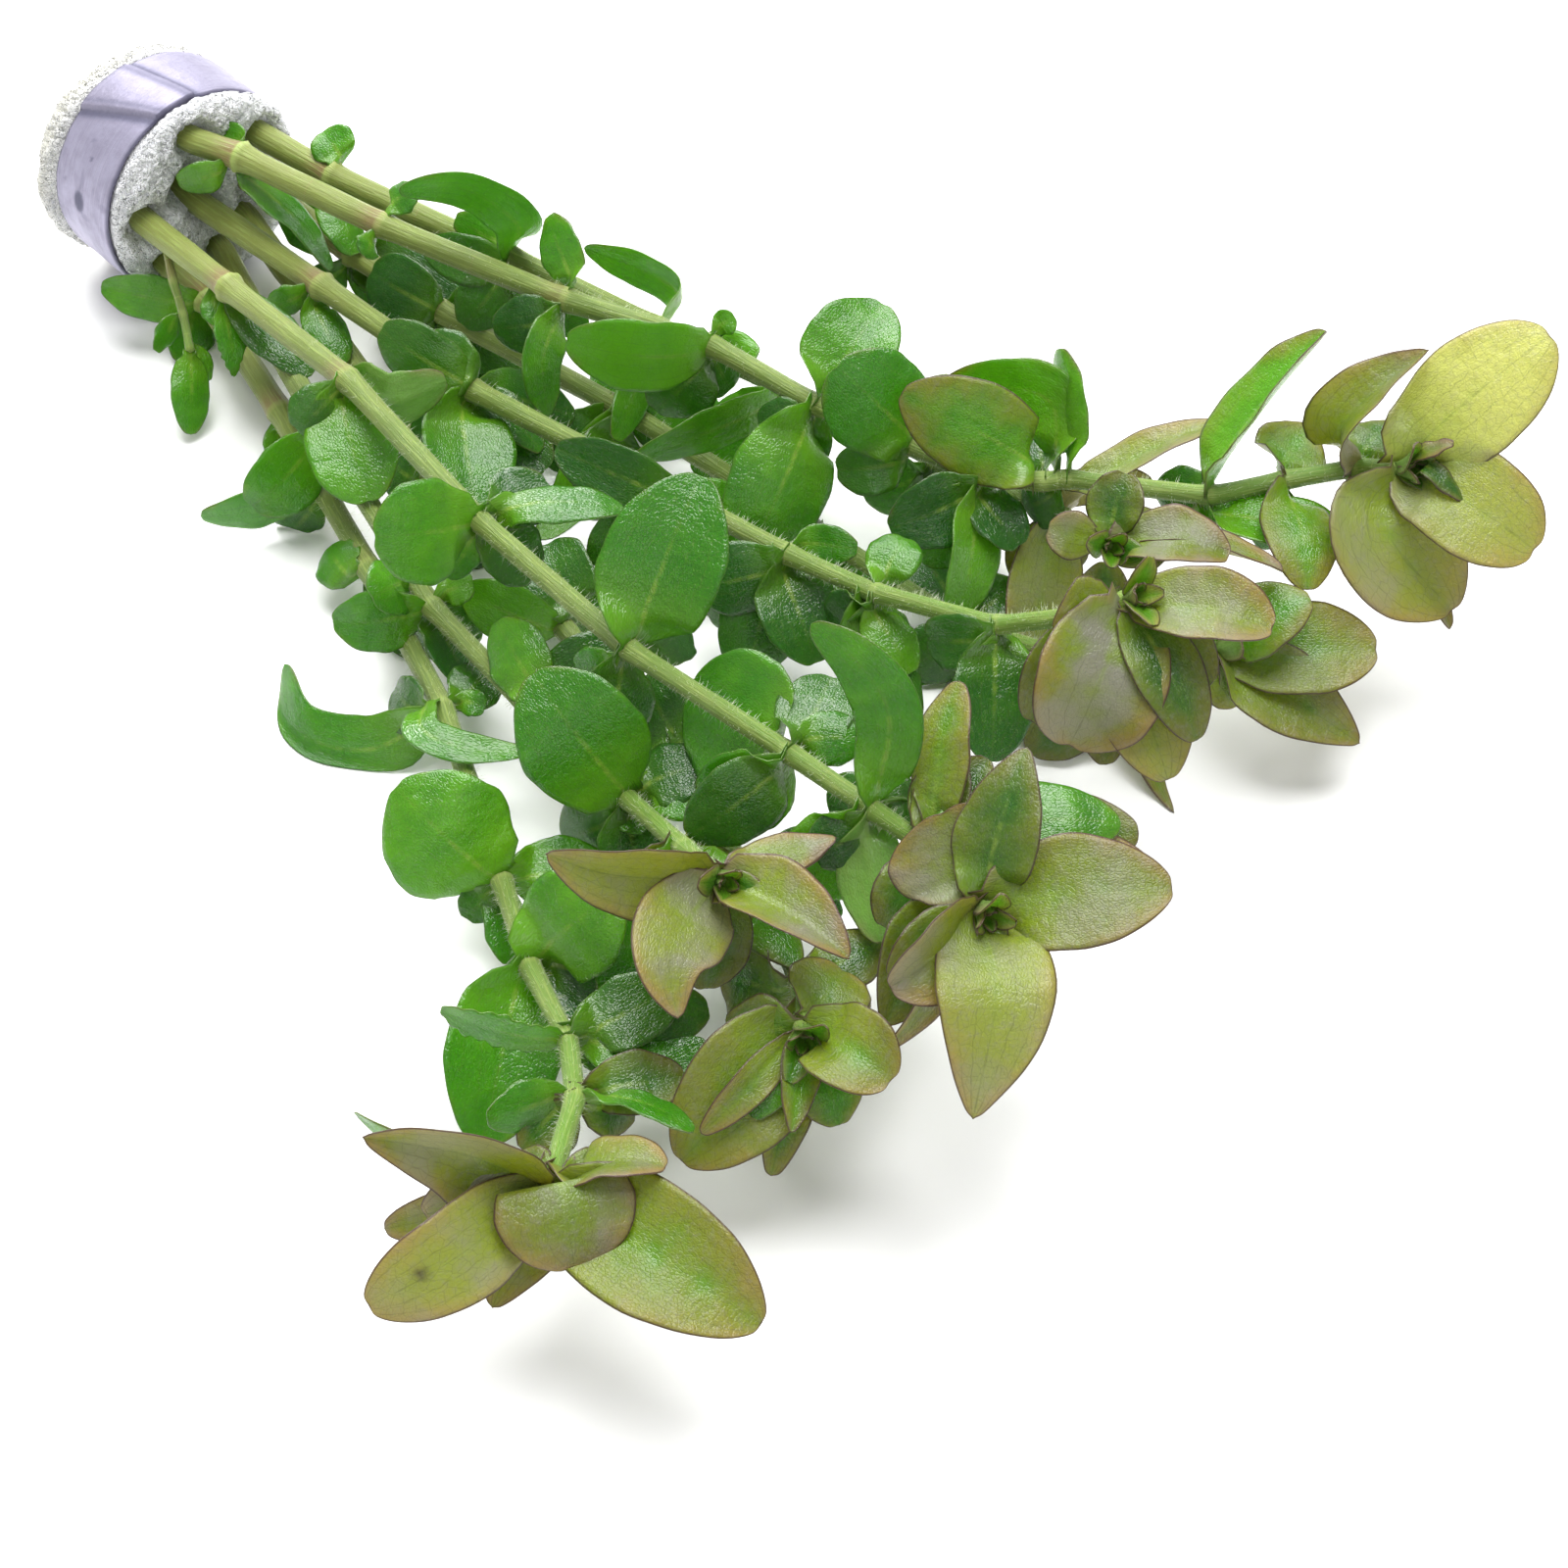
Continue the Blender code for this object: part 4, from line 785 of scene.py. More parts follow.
            faces.append((last + side_number, last + (side_number + 1) % 4, len(corners)))
        return np.array(corners + [tip]), faces


class YoungPose:
    """The pose of a young leaf in a tip bud, which stands round the stem's axis."""

    def __init__(self, stem: StemPlan, turn: float, lean: float, length: float, age: float) -> None:
        """Pose a young leaf.

        Args:
            stem: The stem whose tip it stands on.
            turn: Its direction round the axis in radians.
            lean: How far its tip leans outward in radians.
            length: Its length in millimetres.
            age: How bronze it is.
        """
        self.axis = stem.axis(len(stem.joints) - 1)
        side = unit(np.cross(self.axis, [0.3, -0.5, 0.8]))
        self.out = side * math.cos(turn) + np.cross(self.axis, side) * math.sin(turn)
        self.stem_radius = 0.5
        self.root = stem.joints[-1] + self.axis * (0.9 - 0.1 * length)
        self.base = self.root + self.out * 0.45
        self.length, self.width, self.lean = length, length * 0.58, lean
        self.leaf = Leaf(0, (0, 0), length, self.width, age=age, fold=0.15, wave=0.05,
                         outline=OVAL, pale=0.25)

    def at(self, s: float) -> tuple[Vec, Vec, Vec]:
        """Find where the blade is at a part of its length.

        Args:
            s: The part of the length.

        Returns:
            The midrib's place, the direction across and the upper side's normal.
        """
        bend = self.lean * (0.35 + 0.65 * s)
        mean = self.lean * (0.35 + 0.32 * s)
        along = self.axis * math.cos(bend) + self.out * math.sin(bend)
        place = self.base + (self.axis * math.cos(mean) + self.out * math.sin(mean)) * self.length * s
        up = self.axis * math.sin(bend) - self.out * math.cos(bend)
        return place, np.cross(along, up), up


def tube(places: list[Vec], radii: list[float], sides: int, point: Vec | None = None) -> Solid:
    """Make a plain tube round some places, closed flat or with a point.

    Args:
        places: The places along its middle.
        radii: Its radius at each place.
        sides: How many sides it has.
        point: The point that closes it, if it has one.

    Returns:
        Its corners and faces.
    """
    corners = []
    side = np.array([0.0, 0.0, 1.0])
    for number, (place, radius) in enumerate(zip(places, radii)):
        along = unit(places[min(number + 1, len(places) - 1)] - places[max(number - 1, 0)])
        side = unit(side - along * (side @ along))
        across = np.cross(along, side)
        for step in range(sides):
            angle = 2 * math.pi * step / sides
            corners.append(place + (side * math.cos(angle) + across * math.sin(angle)) * radius)
    faces = [tuple(reversed(range(sides)))]
    for ring in range(0, sides * (len(places) - 1), sides):
        for step in range(sides):
            after = (step + 1) % sides
            faces.append((ring + step, ring + after, ring + sides + after, ring + sides + step))
    last = sides * (len(places) - 1)
    if point is None:
        faces.append(tuple(range(last, last + sides)))
        return np.array(corners), faces
    for step in range(sides):
        faces.append((last + step, last + (step + 1) % sides, len(corners)))
    return np.array(corners + [point]), faces


def plain_stem(stem: StemPlan) -> Solid:
    """Make the plain solid of a stem, which leaves have to stay clear of.

    Args:
        stem: The stem as laid out.

    Returns:
        Its corners and faces.
    """
    joints = stem.joints
    if stem.hole is None:
        return tube(joints, [SIZES.shoot] * len(joints), 5, joints[-1] + unit(joints[-1] - joints[-2]))
    places = [np.array([SIZES.stem_end_x, joints[0][1], joints[0][2]]), joints[0]]
    radii = [SIZES.stem_cut, SIZES.stem_cut]
    for number in range(1, len(joints)):
        radius = stem.radius(number)
        if np.linalg.norm(joints[number] - joints[number - 1]) > 4:
            places.append(joints[number] - stem.axis(number))
            radii.append(radius)
        places.append(joints[number])
        radii.append(radius * SIZES.joint_swell)
    axis = stem.axis(len(joints) - 1)
    places.append(joints[-1] + axis * SIZES.bud * 0.5)
    radii.append(SIZES.stem_tip * 0.9)
    return tube(places, radii, SIZES.stem_sides, joints[-1] + axis * SIZES.bud)


def plain_band() -> Solid:
    """Make the plain solid of the lead band with its raised flap.

    Returns:
        Its corners and faces.
    """
    rings = []
    count = 0
    for flap, x in ((SIZES.flap_far, -SIZES.band_width / 2), (SIZES.flap_near, SIZES.band_width / 2)):
        start, stop = flap
        angles = [start - 0.4, start, (start + stop) / 2, stop, stop + 0.4]
        rises = [0.0, SIZES.flap_rise, SIZES.flap_rise, SIZES.flap_rise, 0.0]
        rest = [stop + 0.4 + (360 - stop + start - 0.8) * step / 44 for step in range(1, 44)]
        count = len(angles + rest)
        for angle, rise in zip(angles + rest, rises + [0.0] * len(rest)):
            turn, radius = math.radians(angle), SIZES.band_radius + rise
            rings.append((x, radius * math.sin(turn), max(0.0, SIZES.band_centre + radius * math.cos(turn))))
        for angle in angles + rest:
            turn, inner = math.radians(angle), SIZES.band_radius - SIZES.band_wall
            rings.append((x, inner * math.sin(turn), SIZES.band_centre + inner * math.cos(turn)))
    faces = []
    end = 2 * count
    for step in range(count):
        after = (step + 1) % count
        faces.append((step, after, end + after, end + step))
        faces.append((count + after, count + step, end + count + step, end + count + after))
        faces.append((after, step, count + step, count + after))
        faces.append((end + step, end + after, end + count + after, end + count + step))
    return np.array(rings), faces


def plain_foam() -> Solid:
    """Make the plain solid of the foam roll.

    Returns:
        Its corners and faces.
    """
    radius = SIZES.foam_radius
    profile = [(SIZES.foam_far_x, 9.5), (SIZES.foam_far_x + 0.9, 12.0), (SIZES.foam_far_x + 2.4, radius),
               (SIZES.band_width / 2 - 0.2, radius), (SIZES.foam_face_x - 0.5, radius - 0.5),
               (SIZES.foam_face_x, 11.4)]
    places = [np.array([x, 0.0, SIZES.band_centre]) for x, _ in profile]
    return tube(places, [ring for _, ring in profile], 20)


class Neighbours:
    """The solids placed so far, which a new leaf has to stay clear of."""

    def __init__(self) -> None:
        """Start with nothing placed."""
        self.placed: list[tuple[str, BVHTree, Vec, Vec]] = []

    def add(self, owner: str, corners: Vec, faces: list[tuple[int, ...]]) -> None:
        """Add a solid."""
        tree = BVHTree.FromPolygons([tuple(corner) for corner in corners], faces)
        self.placed.append((owner, tree, corners.min(axis=0), corners.max(axis=0)))

    def touch(self, corners: Vec, faces: list[tuple[int, ...]], skip: str = "") -> bool:
        """Tell whether a solid meets any placed one.

        Args:
            corners: Its corners.
            faces: Its faces.
            skip: The owner whose solids don't count.

        Returns:
            Whether it meets one.
        """
        low, high = corners.min(axis=0), corners.max(axis=0)
        tree = None
        for owner, other, other_low, other_high in self.placed:
            if owner == skip or (other_low > high).any() or (other_high < low).any():
                continue
            tree = tree or BVHTree.FromPolygons([tuple(corner) for corner in corners], faces)
            if tree.overlap(other):
                return True
        return False


@dataclass
class PlacedLeaf:
    """A leaf in the pose that it settled in."""

    stem: str
    node: str | None
    pose: LeafPose
    number: int


@dataclass
class Foliage:
    """All leaves, settled rank by rank so that each is clear of all before it."""

    stems: tuple[StemPlan, ...]
    own_stations: tuple[float, ...] = (0.0, 0.15, 0.4, 0.65, 0.88)
    small_stations: tuple[float, ...] = (0.0, 0.3, 0.65)
    trials: int = 420
    late_trials: int = 160
    near: Neighbours = field(default_factory=Neighbours)
    placed: list[PlacedLeaf] = field(default_factory=list)

    @cached_property
    def changes(self) -> list[Change]:
        """The small changes of a pose to try, the mildest first."""
        found = []
        for change in itertools.product((0, 1.5, -1.5, 3, -3, 5, -5), (0, 14, -14, 28, -28), (0, 0.06, -0.06),
                                        (0, 1.2, 2.4, 3.6), (1.0, 0.88, 0.75, 0.6)):
            nearer, turn, lift, lower, size = change
            cost = abs(nearer) / 1.5 + abs(turn) / 12 + abs(lift) * 14 + lower * 0.6 + (1 - size) * 14
            found.append((cost, *change))
        return [Change(*row[1:]) for row in sorted(found)[:self.trials]]

    def settle(self) -> list[PlacedLeaf]:
        """Place every leaf, and then those that the solids have no room for, closer to the rest.

        Returns:
            The placed leaves.
        """
        for stem in self.stems:
            self.near.add(stem.name, *plain_stem(stem))
        self.near.add("foam", *plain_foam())
        self.near.add("band", *plain_band())
        numbers: dict[str, int] = {}
        late = []
        for rank in range(max(len(stem.leaves) for stem in self.stems)):
            for stem in self.stems:
                if rank >= len(stem.leaves):
                    continue
                leaf = stem.leaves[rank]
                own = stem.hole is not None and leaf.length * leaf.width >= SIZES.own_area
                pose = self.find_pose(stem, leaf, own)
                if pose is None:
                    late.append((stem, leaf))
                    continue
                node = None
                if own:
                    numbers[stem.name] = numbers.get(stem.name, 0) + 1
                    node = f"stem_{stem.name}_leaf_{numbers[stem.name]}"
                self.placed.append(PlacedLeaf(stem.name, node, pose, len(self.placed)))
        for stem, leaf in late:
            self.fill_in(stem, leaf, self.late_trials)
        for stem in self.stems:
            for leaf in stem.filling:
                self.fill_in(stem, leaf, self.trials)
        return self.placed

    def find_pose(self, stem: StemPlan, leaf: Leaf, own: bool) -> LeafPose | None:
        """Find the first pose of a leaf that is clear of its neighbours, and add it to them.

        Args:
            stem: The stem it grows from.
            leaf: The leaf as laid out.
            own: Whether it is a solid of its own.

        Returns:
            The pose, or None where there is no room.
        """
        stations = self.own_stations if own else self.small_stations
        for change in self.changes:
            pose = LeafPose(stem, leaf, change)
            whole = pose.solid(stations, SIZES.clearance, foot=not own)
            beyond = pose.solid(stations[1:], SIZES.clearance)
            if own and self.near.touch(*pose.solid(stations, 0.05)):
                continue
            if not self.near.touch(*whole, skip=stem.name) and not self.near.touch(*beyond):
                self.near.add("leaf", *pose.solid(stations, foot=not own))
                return pose
        return None

    def fill_in(self, stem: StemPlan, leaf: Leaf, trials: int) -> None:
        """Place a leaf so that it just misses its neighbours, or leave it out.

        Args:
            stem: The stem it grows from.
            leaf: The leaf as laid out.
            trials: How many changes of its pose to try.
        """
        for change in self.changes[:trials]:
            pose = LeafPose(stem, leaf, change)
            if not self.near.touch(*pose.solid(self.small_stations[1:], 0.02)):
                self.near.add("leaf", *pose.solid(self.small_stations))
                self.placed.append(PlacedLeaf(stem.name, None, pose, len(self.placed)))
                return
        log.info("no room for a leaf of stem %s at %s", stem.name, leaf.tip_px)


@dataclass
class MeshWork:
    """Gathers surfaces with their point values into one mesh."""

    places: list[Vec] = field(default_factory=list)
    faces: list[list[int]] = field(default_factory=list)
    values: dict[str, list[Vec]] = field(default_factory=dict)
    count: int = 0

    def add(self, places: Vec, faces: Vec, **values: Vec) -> None:
        """Add a surface.

        Args:
            places: Its points in millimetres.
            faces: Rows of point numbers.
            values: Point values by name, as rows of three numbers.
        """
        self.places.append(np.asarray(places, float))
        self.faces.extend((np.asarray(faces) + self.count).tolist())
        for name in dict.fromkeys([*self.values, *values]):
            if name not in self.values:
                self.values[name] = [np.zeros((self.count, 3))] if self.count else []
            given = values.get(name)
            self.values[name].append(np.zeros((len(places), 3)) if given is None else np.asarray(given, float))
        self.count += len(places)

    def build(self, name: str, material: bpy.types.Material) -> bpy.types.Object:
        """Make the mesh object.

        Args:
            name: The piece's name.
            material: Its finish.

        Returns:
            The object, with smooth faces.
        """
        mesh = bpy.data.meshes.new(name)
        mesh.from_pydata((np.concatenate(self.places) * MM).tolist(), [], self.faces)
        for key, parts in self.values.items():
            stored = mesh.attributes.new(key, "FLOAT_VECTOR", "POINT")
            stored.data.foreach_set("vector", np.concatenate(parts).astype(np.float32).ravel())
        mesh.materials.append(material)
        mesh.shade_smooth()
        mesh.update()
        return link(bpy.data.objects.new(name, mesh))


def grid_faces(rows: int, columns: int, first: int = 0, flip: bool = False, closed: bool = False) -> Vec:
    """List the faces of a grid of points.

    Args:
        rows: How many rows it has.
        columns: How many points each row has.
        first: The number of its first point.
        flip: Whether its faces turn the other way.
        closed: Whether each row closes on itself.

    Returns:
        Rows of four point numbers.
    """
    row, column = np.meshgrid(np.arange(rows - 1), np.arange(columns if closed else columns - 1), indexing="ij")
    after = (column + 1) % columns
    a, b = row * columns + column, row * columns + after
    c, d = (row + 1) * columns + after, (row + 1) * columns + column
    order = (a, d, c, b) if flip else (a, b, c, d)
    return np.stack(order, axis=-1).reshape(-1, 4) + first


def strip_faces(one: Vec, other: Vec) -> Vec:
    """List the faces between two rows of points."""
    return np.stack([one[:-1], one[1:], other[1:], other[:-1]], axis=-1)


def ripple(places: Vec, scale: float, seed: float, layers: int = 3) -> Vec:
    """Give soft unevenness that is the same on every run.

    Args:
        places: Rows of points.
        scale: How many ripples there are to a millimetre.
        seed: Which unevenness.
        layers: How many finer layers it has.

    Returns:
        Values from about -1 to 1.
    """
    rng = np.random.default_rng(int(seed))
    total = np.zeros(len(places))
    weight = 0.0
    for layer in range(layers):
        for _ in range(4):
            line = unit(rng.normal(size=3)) * scale * 2 ** layer * 2 * math.pi
            total += np.sin(places @ line + rng.uniform(0, 2 * math.pi)) / 2 ** layer / 2.2
        weight += 1 / 2 ** layer
    return total / weight


@dataclass(frozen=True)
class BladeForm:
    """The fleshy blade of a leaf: its grid, thickness and relief in millimetres."""

    stations: int = 34
    spokes: int = 17
    coarse: tuple[int, int] = (20, 11)
    coarse_below: float = 9.0
    thick: float = 0.42
    thin: float = 0.13
    groove: float = 0.16
    groove_width: float = 0.42
    quilt: float = 0.025
    cup: tuple[float, float] = (-0.22, 0.24)
    twist: float = 11.0
    curl: tuple[float, float] = (-0.055, 0.03)
    greens: tuple[Outline, ...] = (OVAL, ROUND, OVAL)
    bronzes: tuple[Outline, ...] = (OVAL, POINTED, OVAL)

    def add_to(self, work: MeshWork, pose: LeafPose | YoungPose, number: int) -> None:
        """Add a leaf's blade to a mesh.

        Args:
            work: The mesh in the making.
            pose: The leaf's pose.
            number: The leaf's number, which seeds its own unevenness.
        """
        leaf = pose.leaf
        rng = np.random.default_rng(7919 * number + 11)
        phases = rng.uniform(0, 2 * math.pi, 6)
        stations, spokes = (self.stations, self.spokes) if pose.length > self.coarse_below else self.coarse
        u = np.linspace(-1, 1, spokes)
        u = np.sign(u) * np.abs(u) ** 0.9
        s = 1 - (1 - np.linspace(0, 1, stations)) ** 1.55
        frames = [pose.at(float(value)) for value in s]
        middle, side, up = (np.array(rows)[:, None, :] for rows in zip(*frames))
        outline = leaf.outline or (self.greens if leaf.age < 0.4 else self.bronzes)[number % 3]
        reach = outline.width(s) * pose.width * (0.512 + 0.02 * leaf.age)
        reach[-1] = reach[-2] * 0.3
        cup = rng.uniform(*self.cup) + 0.12 * leaf.age
        twist, curl = math.radians(rng.uniform(-self.twist, self.twist)), rng.uniform(*self.curl)
        turn = (twist * (s - 0.3))[:, None, None]
        side, up = side * np.cos(turn) + up * np.sin(turn), up * np.cos(turn) - side * np.sin(turn)
        middle = middle + np.array([0, 0, leaf.clear]) * ease(s / 0.25)[:, None, None]
        middle = middle + up * (curl * pose.length * ease((s - 0.5) / 0.5) ** 1.3)[:, None, None]
        s_grid, u_grid = s[:, None], u[None, :]
        even = 1 - 0.6 * leaf.age
        uneven = 0.018 * even * np.sin(2 * math.pi * 2.3 * s_grid + np.where(u_grid < 0, phases[0], phases[1]))
        uneven = uneven + 0.006 * even * np.sin(32.0 * s_grid + np.where(u_grid < 0, phases[2], phases[3]))
        bites = np.abs(np.sin(2 * math.pi * 3.7 * s_grid + np.where(u_grid < 0, phases[4], phases[5]))) ** 3
        spread = reach[:, None] * (1 + (uneven - leaf.torn * bites) * np.abs(u_grid))
        across = spread * u_grid
        size = np.abs(u_grid)
        rise = spread * (cup * (0.35 * size + 0.65 * size ** 2) + leaf.fold * size)
        groove = -self.groove * np.exp(-(across / self.groove_width) ** 2) * (1 - 0.75 * s_grid)
        quilt = self.quilt * -np.cos(6 * math.pi * size) * np.sin(math.pi * s_grid) * np.minimum(1, spread / 3)
        wave = leaf.wave * size ** 2.5 * np.sin(math.pi * s_grid)
        wave = wave * (np.sin(2 * math.pi * 1.4 * s_grid + np.where(u_grid < 0, phases[1], phases[4]))
                       + 0.4 * np.sin(2 * math.pi * 3.3 * s_grid + np.where(u_grid < 0, phases[3], phases[0])))
        notch = ease((s_grid - 0.93) / 0.07) * np.exp(-(across / 0.8) ** 2) * 0.35
        along = headings(middle[:, 0, :])[:, None, :]
        clasp = ease((0.1 - s_grid) / 0.1) * size ** 2 * pose.stem_radius * 0.9
        height = rise + groove + quilt + wave
        surface = middle + side * across[..., None] + up * height[..., None]
        surface = surface - along * notch[..., None] - pose.out * clasp[..., None]
        thick = self.thin + (self.thick - self.thin) * (1 - size ** 2) * (1 - 0.6 * s_grid)
        thick = thick * (1 + 0.5 * np.exp(-(across / 0.5) ** 2) * (1 - s_grid))
        foot = surface[:1] - pose.out * (SIZES.leaf_gap + pose.stem_radius * 0.75)
        surface = np.concatenate([foot, surface])
        thick = np.concatenate([thick[:1], thick])
        up = np.concatenate([up[:1], up])
        top = surface + up * thick[..., None] * 0.45
        under = surface - up * thick[..., None] * 0.55
        rows, columns = stations + 1, spokes
        points = np.concatenate([top.reshape(-1, 3), under.reshape(-1, 3)])
        points = SIZES.above_floor(points, 0.0)
        total = rows * columns
        numbers = np.arange(total).reshape(rows, columns)
        faces = np.concatenate([
            grid_faces(rows, columns),
            grid_faces(rows, columns, total, flip=True),
            strip_faces(numbers[0, ::-1], numbers[0, ::-1] + total),
            strip_faces(numbers[-1], numbers[-1] + total),
            strip_faces(numbers[::-1, -1], numbers[::-1, -1] + total),
            strip_faces(numbers[:, 0], numbers[:, 0] + total),
        ])
        length = s * pose.length
        rim = np.minimum(spread * (1 - size), (1 - s_grid) * pose.length * (1 - 0.35 * size))
        spot = np.zeros_like(across)
        if leaf.spot:
            spot = np.exp(-((length[:, None] - leaf.spot[0] * pose.length) ** 2
                            + (across - leaf.spot[1] * pose.width / 2) ** 2) / 0.35)
        full = np.ones_like(across)
        ribs = np.stack([u_grid * full, s_grid * full, leaf.age * full], axis=-1)
        blade = np.stack([across, length[:, None] * full, full * phases[0] * 31], axis=-1)
        edge = np.stack([rim, full * 0, spot], axis=-1)
        # tone carries pale and its opposite: pale is partly painted backlight glow, the opposite partly painted shade
        # on the leaves deep inside
        tone = np.stack([max(0.0, leaf.pale) * full, max(0.0, -leaf.pale) * full, full * 0], axis=-1)
        values = {}
        for name, grid in (("ribs", ribs), ("blade", blade), ("edge", edge), ("tone", tone)):
            grid = np.concatenate([grid[:1], grid]).reshape(-1, 3)
            other = grid.copy()
            if name == "edge":
                other[:, 1] = 1
            values[name] = np.concatenate([grid, other])
        work.add(points, faces, **values)


@dataclass
class LeafyStem:
    """One stem with its ridged skin, joints, tip bud and hairs."""

    plan: StemPlan
    sides: int = 22
    step: float = 0.55
    ridge: float = 0.055
    hairs: int = 1500
    hair_length: tuple[float, float] = (0.45, 1.15)
    hair_half: float = 0.018
    hair_from: float = 0.25
    hair_reach: float = 0.73
    hair_height: float = 0.4

    def line(self) -> tuple[Vec, Vec]:
        """Draw the stem's middle line with its corners eased.

        Returns:
            The points and their distances along the stem.
        """
        joints = self.plan.joints
        places = list(joints)
        if self.plan.hole is not None:
            places = [np.array([SIZES.stem_end_x, joints[0][1], joints[0][2]])] + places
            places.append(joints[-1] + self.plan.axis(len(joints) - 1) * SIZES.bud * 0.4)
        places = np.array(places)
        reach = reach_of(places)
        even = np.linspace(0, reach[-1], max(8, int(reach[-1] / self.step)))
        dense = read_off(places, reach, even)
        eased = dense.copy()
        window = max(1, int(1.6 / self.step))
        for index in range(1, len(dense) - 1):
            half = min(window, index, len(dense) - 1 - index)
            eased[index] = dense[index - half:index + half + 1].mean(axis=0)
        return eased, even

    def joint_reach(self, line: Vec, even: Vec) -> Vec:
        """Find where the joints are along the eased line."""
        joints = self.plan.joints[1:] if self.plan.hole is not None else self.plan.joints
        return np.array([even[np.argmin(np.linalg.norm(line - joint, axis=1))] for joint in joints])

    @staticmethod
    def skin_radius(share: Vec) -> Vec:
        """Give the skin's radius, which is slimmer than the plain stem's corners."""
        return 0.95 + 0.75 * np.maximum(0.0, 1 - share) ** 1.6

    def add_skin(self, work: MeshWork) -> None:
        """Add the stem's ridged skin to a mesh.

        Args:
            work: The mesh in the making.
        """
        line, even = self.line()
        at_joint = self.joint_reach(line, even)
        away = even[:, None] - at_joint[None, :]
        nearest = away[np.arange(len(even)), np.abs(away).argmin(axis=1)]
        share = even / even[-1]
        if self.plan.hole is None:
            radius = np.full(len(even), SIZES.shoot)
        else:
            radius = self.skin_radius(share)
        swell = 0.13 * radius * np.exp(-(nearest / 1.5) ** 2)
        low = 1 - ease((even - at_joint[0] - 3) / 3)
        ring = (0.07 + 0.28 * low) * np.exp(-(nearest / 0.36) ** 2) - 0.02 * np.exp(-((nearest + 0.6) / 0.3) ** 2)
        if self.plan.hole is not None:
            radius = radius * (1 - 0.6 * ease((even - at_joint[-1] + 0.6) / 2.2))
        radius = radius + swell + ring * radius / SIZES.stem_cut
        along = headings(line)
        side = np.array([0.0, 0.0, 1.0])
        turn = np.linspace(0, 2 * math.pi, self.sides, endpoint=False)
        rings = []
        for index in range(len(line)):
            side = unit(side - along[index] * (side @ along[index]))
            across = np.cross(along[index], side)
            rings.append(np.outer(np.cos(turn), side) + np.outer(np.sin(turn), across))
        rings = np.array(rings)
        ridges = self.ridge * np.cos(9 * turn[None, :] + 0.012 * even[:, None] * 2 * math.pi)
        places = line[:, None, :] + rings * radius[:, None, None]
        uneven = ripple(places.reshape(-1, 3), 0.09, 5 + len(self.plan.leaves)).reshape(len(line), -1) * 0.07
        places = places + rings * ((ridges + uneven) * radius[:, None] / SIZES.stem_cut)[..., None]
        places = SIZES.above_floor(places.reshape(-1, 3), 0.0)
        count = len(places)
        ends = np.stack([line[0], line[-1] + along[-1] * radius[-1] * 0.4])
        faces = grid_faces(len(line), self.sides, closed=True)
        first, last = np.arange(self.sides), np.arange(count - self.sides, count)
        caps = [[first[(k + 1) % self.sides], first[k], count] for k in range(self.sides)]
        caps += [[last[k], last[(k + 1) % self.sides], count + 1] for k in range(self.sides)]
        skin = np.stack([np.tile(np.cos(turn), len(line)), np.tile(np.sin(turn), len(line)),
                         np.repeat(even, self.sides)], axis=-1)
        growth = np.stack([np.repeat(nearest, self.sides), np.repeat(share, self.sides),
                           np.full(count, float(len(self.plan.leaves)))], axis=-1)
        skin = np.concatenate([skin, [[0, 0, even[0]], [0, 0, even[-1]]]])
        growth = np.concatenate([growth, [[9, 0, 0], [0, 1, 0]]])
        work.add(np.concatenate([places, ends]), faces, skin=skin, growth=growth)
        work.faces.extend((np.array(caps) + work.count - count - 2).tolist())

    def add_hairs(self, work: MeshWork) -> None:
        """Add the fine hairs of the upper stretches to a mesh.

        Args:
            work: The mesh in the making.
        """
        line, even = self.line()
        share = even / even[-1]
        rng = np.random.default_rng(1000 + len(self.plan.leaves) * 17)
        along = headings(line)
        places, faces = [], []
        for pick in rng.uniform(0, 1, self.hairs) ** 0.6:
            index = int(np.clip((self.hair_from + self.hair_reach * pick) * (len(line) - 1), 0, len(line) - 2))
            axis = along[index]
            side = unit(np.cross(axis, rng.normal(size=3)))
            radius = self.skin_radius(share[index])
            root = line[index] + axis * rng.uniform(-0.3, 0.3) + side * radius * 0.96
            length = rng.uniform(*self.hair_length)
            lean = unit(side + axis * rng.uniform(-0.1, 0.7) + rng.normal(size=3) * 0.15)
            wide = unit(np.cross(lean, axis)) * self.hair_half
            other = unit(np.cross(lean, wide)) * self.hair_half
            tip = root + lean * length + rng.normal(size=3) * 0.05
            if min(root[2], tip[2]) < self.hair_height:
                continue
            base = len(places)
            places += [root + wide, root - wide * 0.5 + other, root - wide * 0.5 - other, tip]
            faces += [[base, base + 1, base + 3], [base + 1, base + 2, base + 3], [base + 2, base, base + 3]]
        work.add(np.array(places), np.array(faces))


Socket = bpy.types.NodeSocket


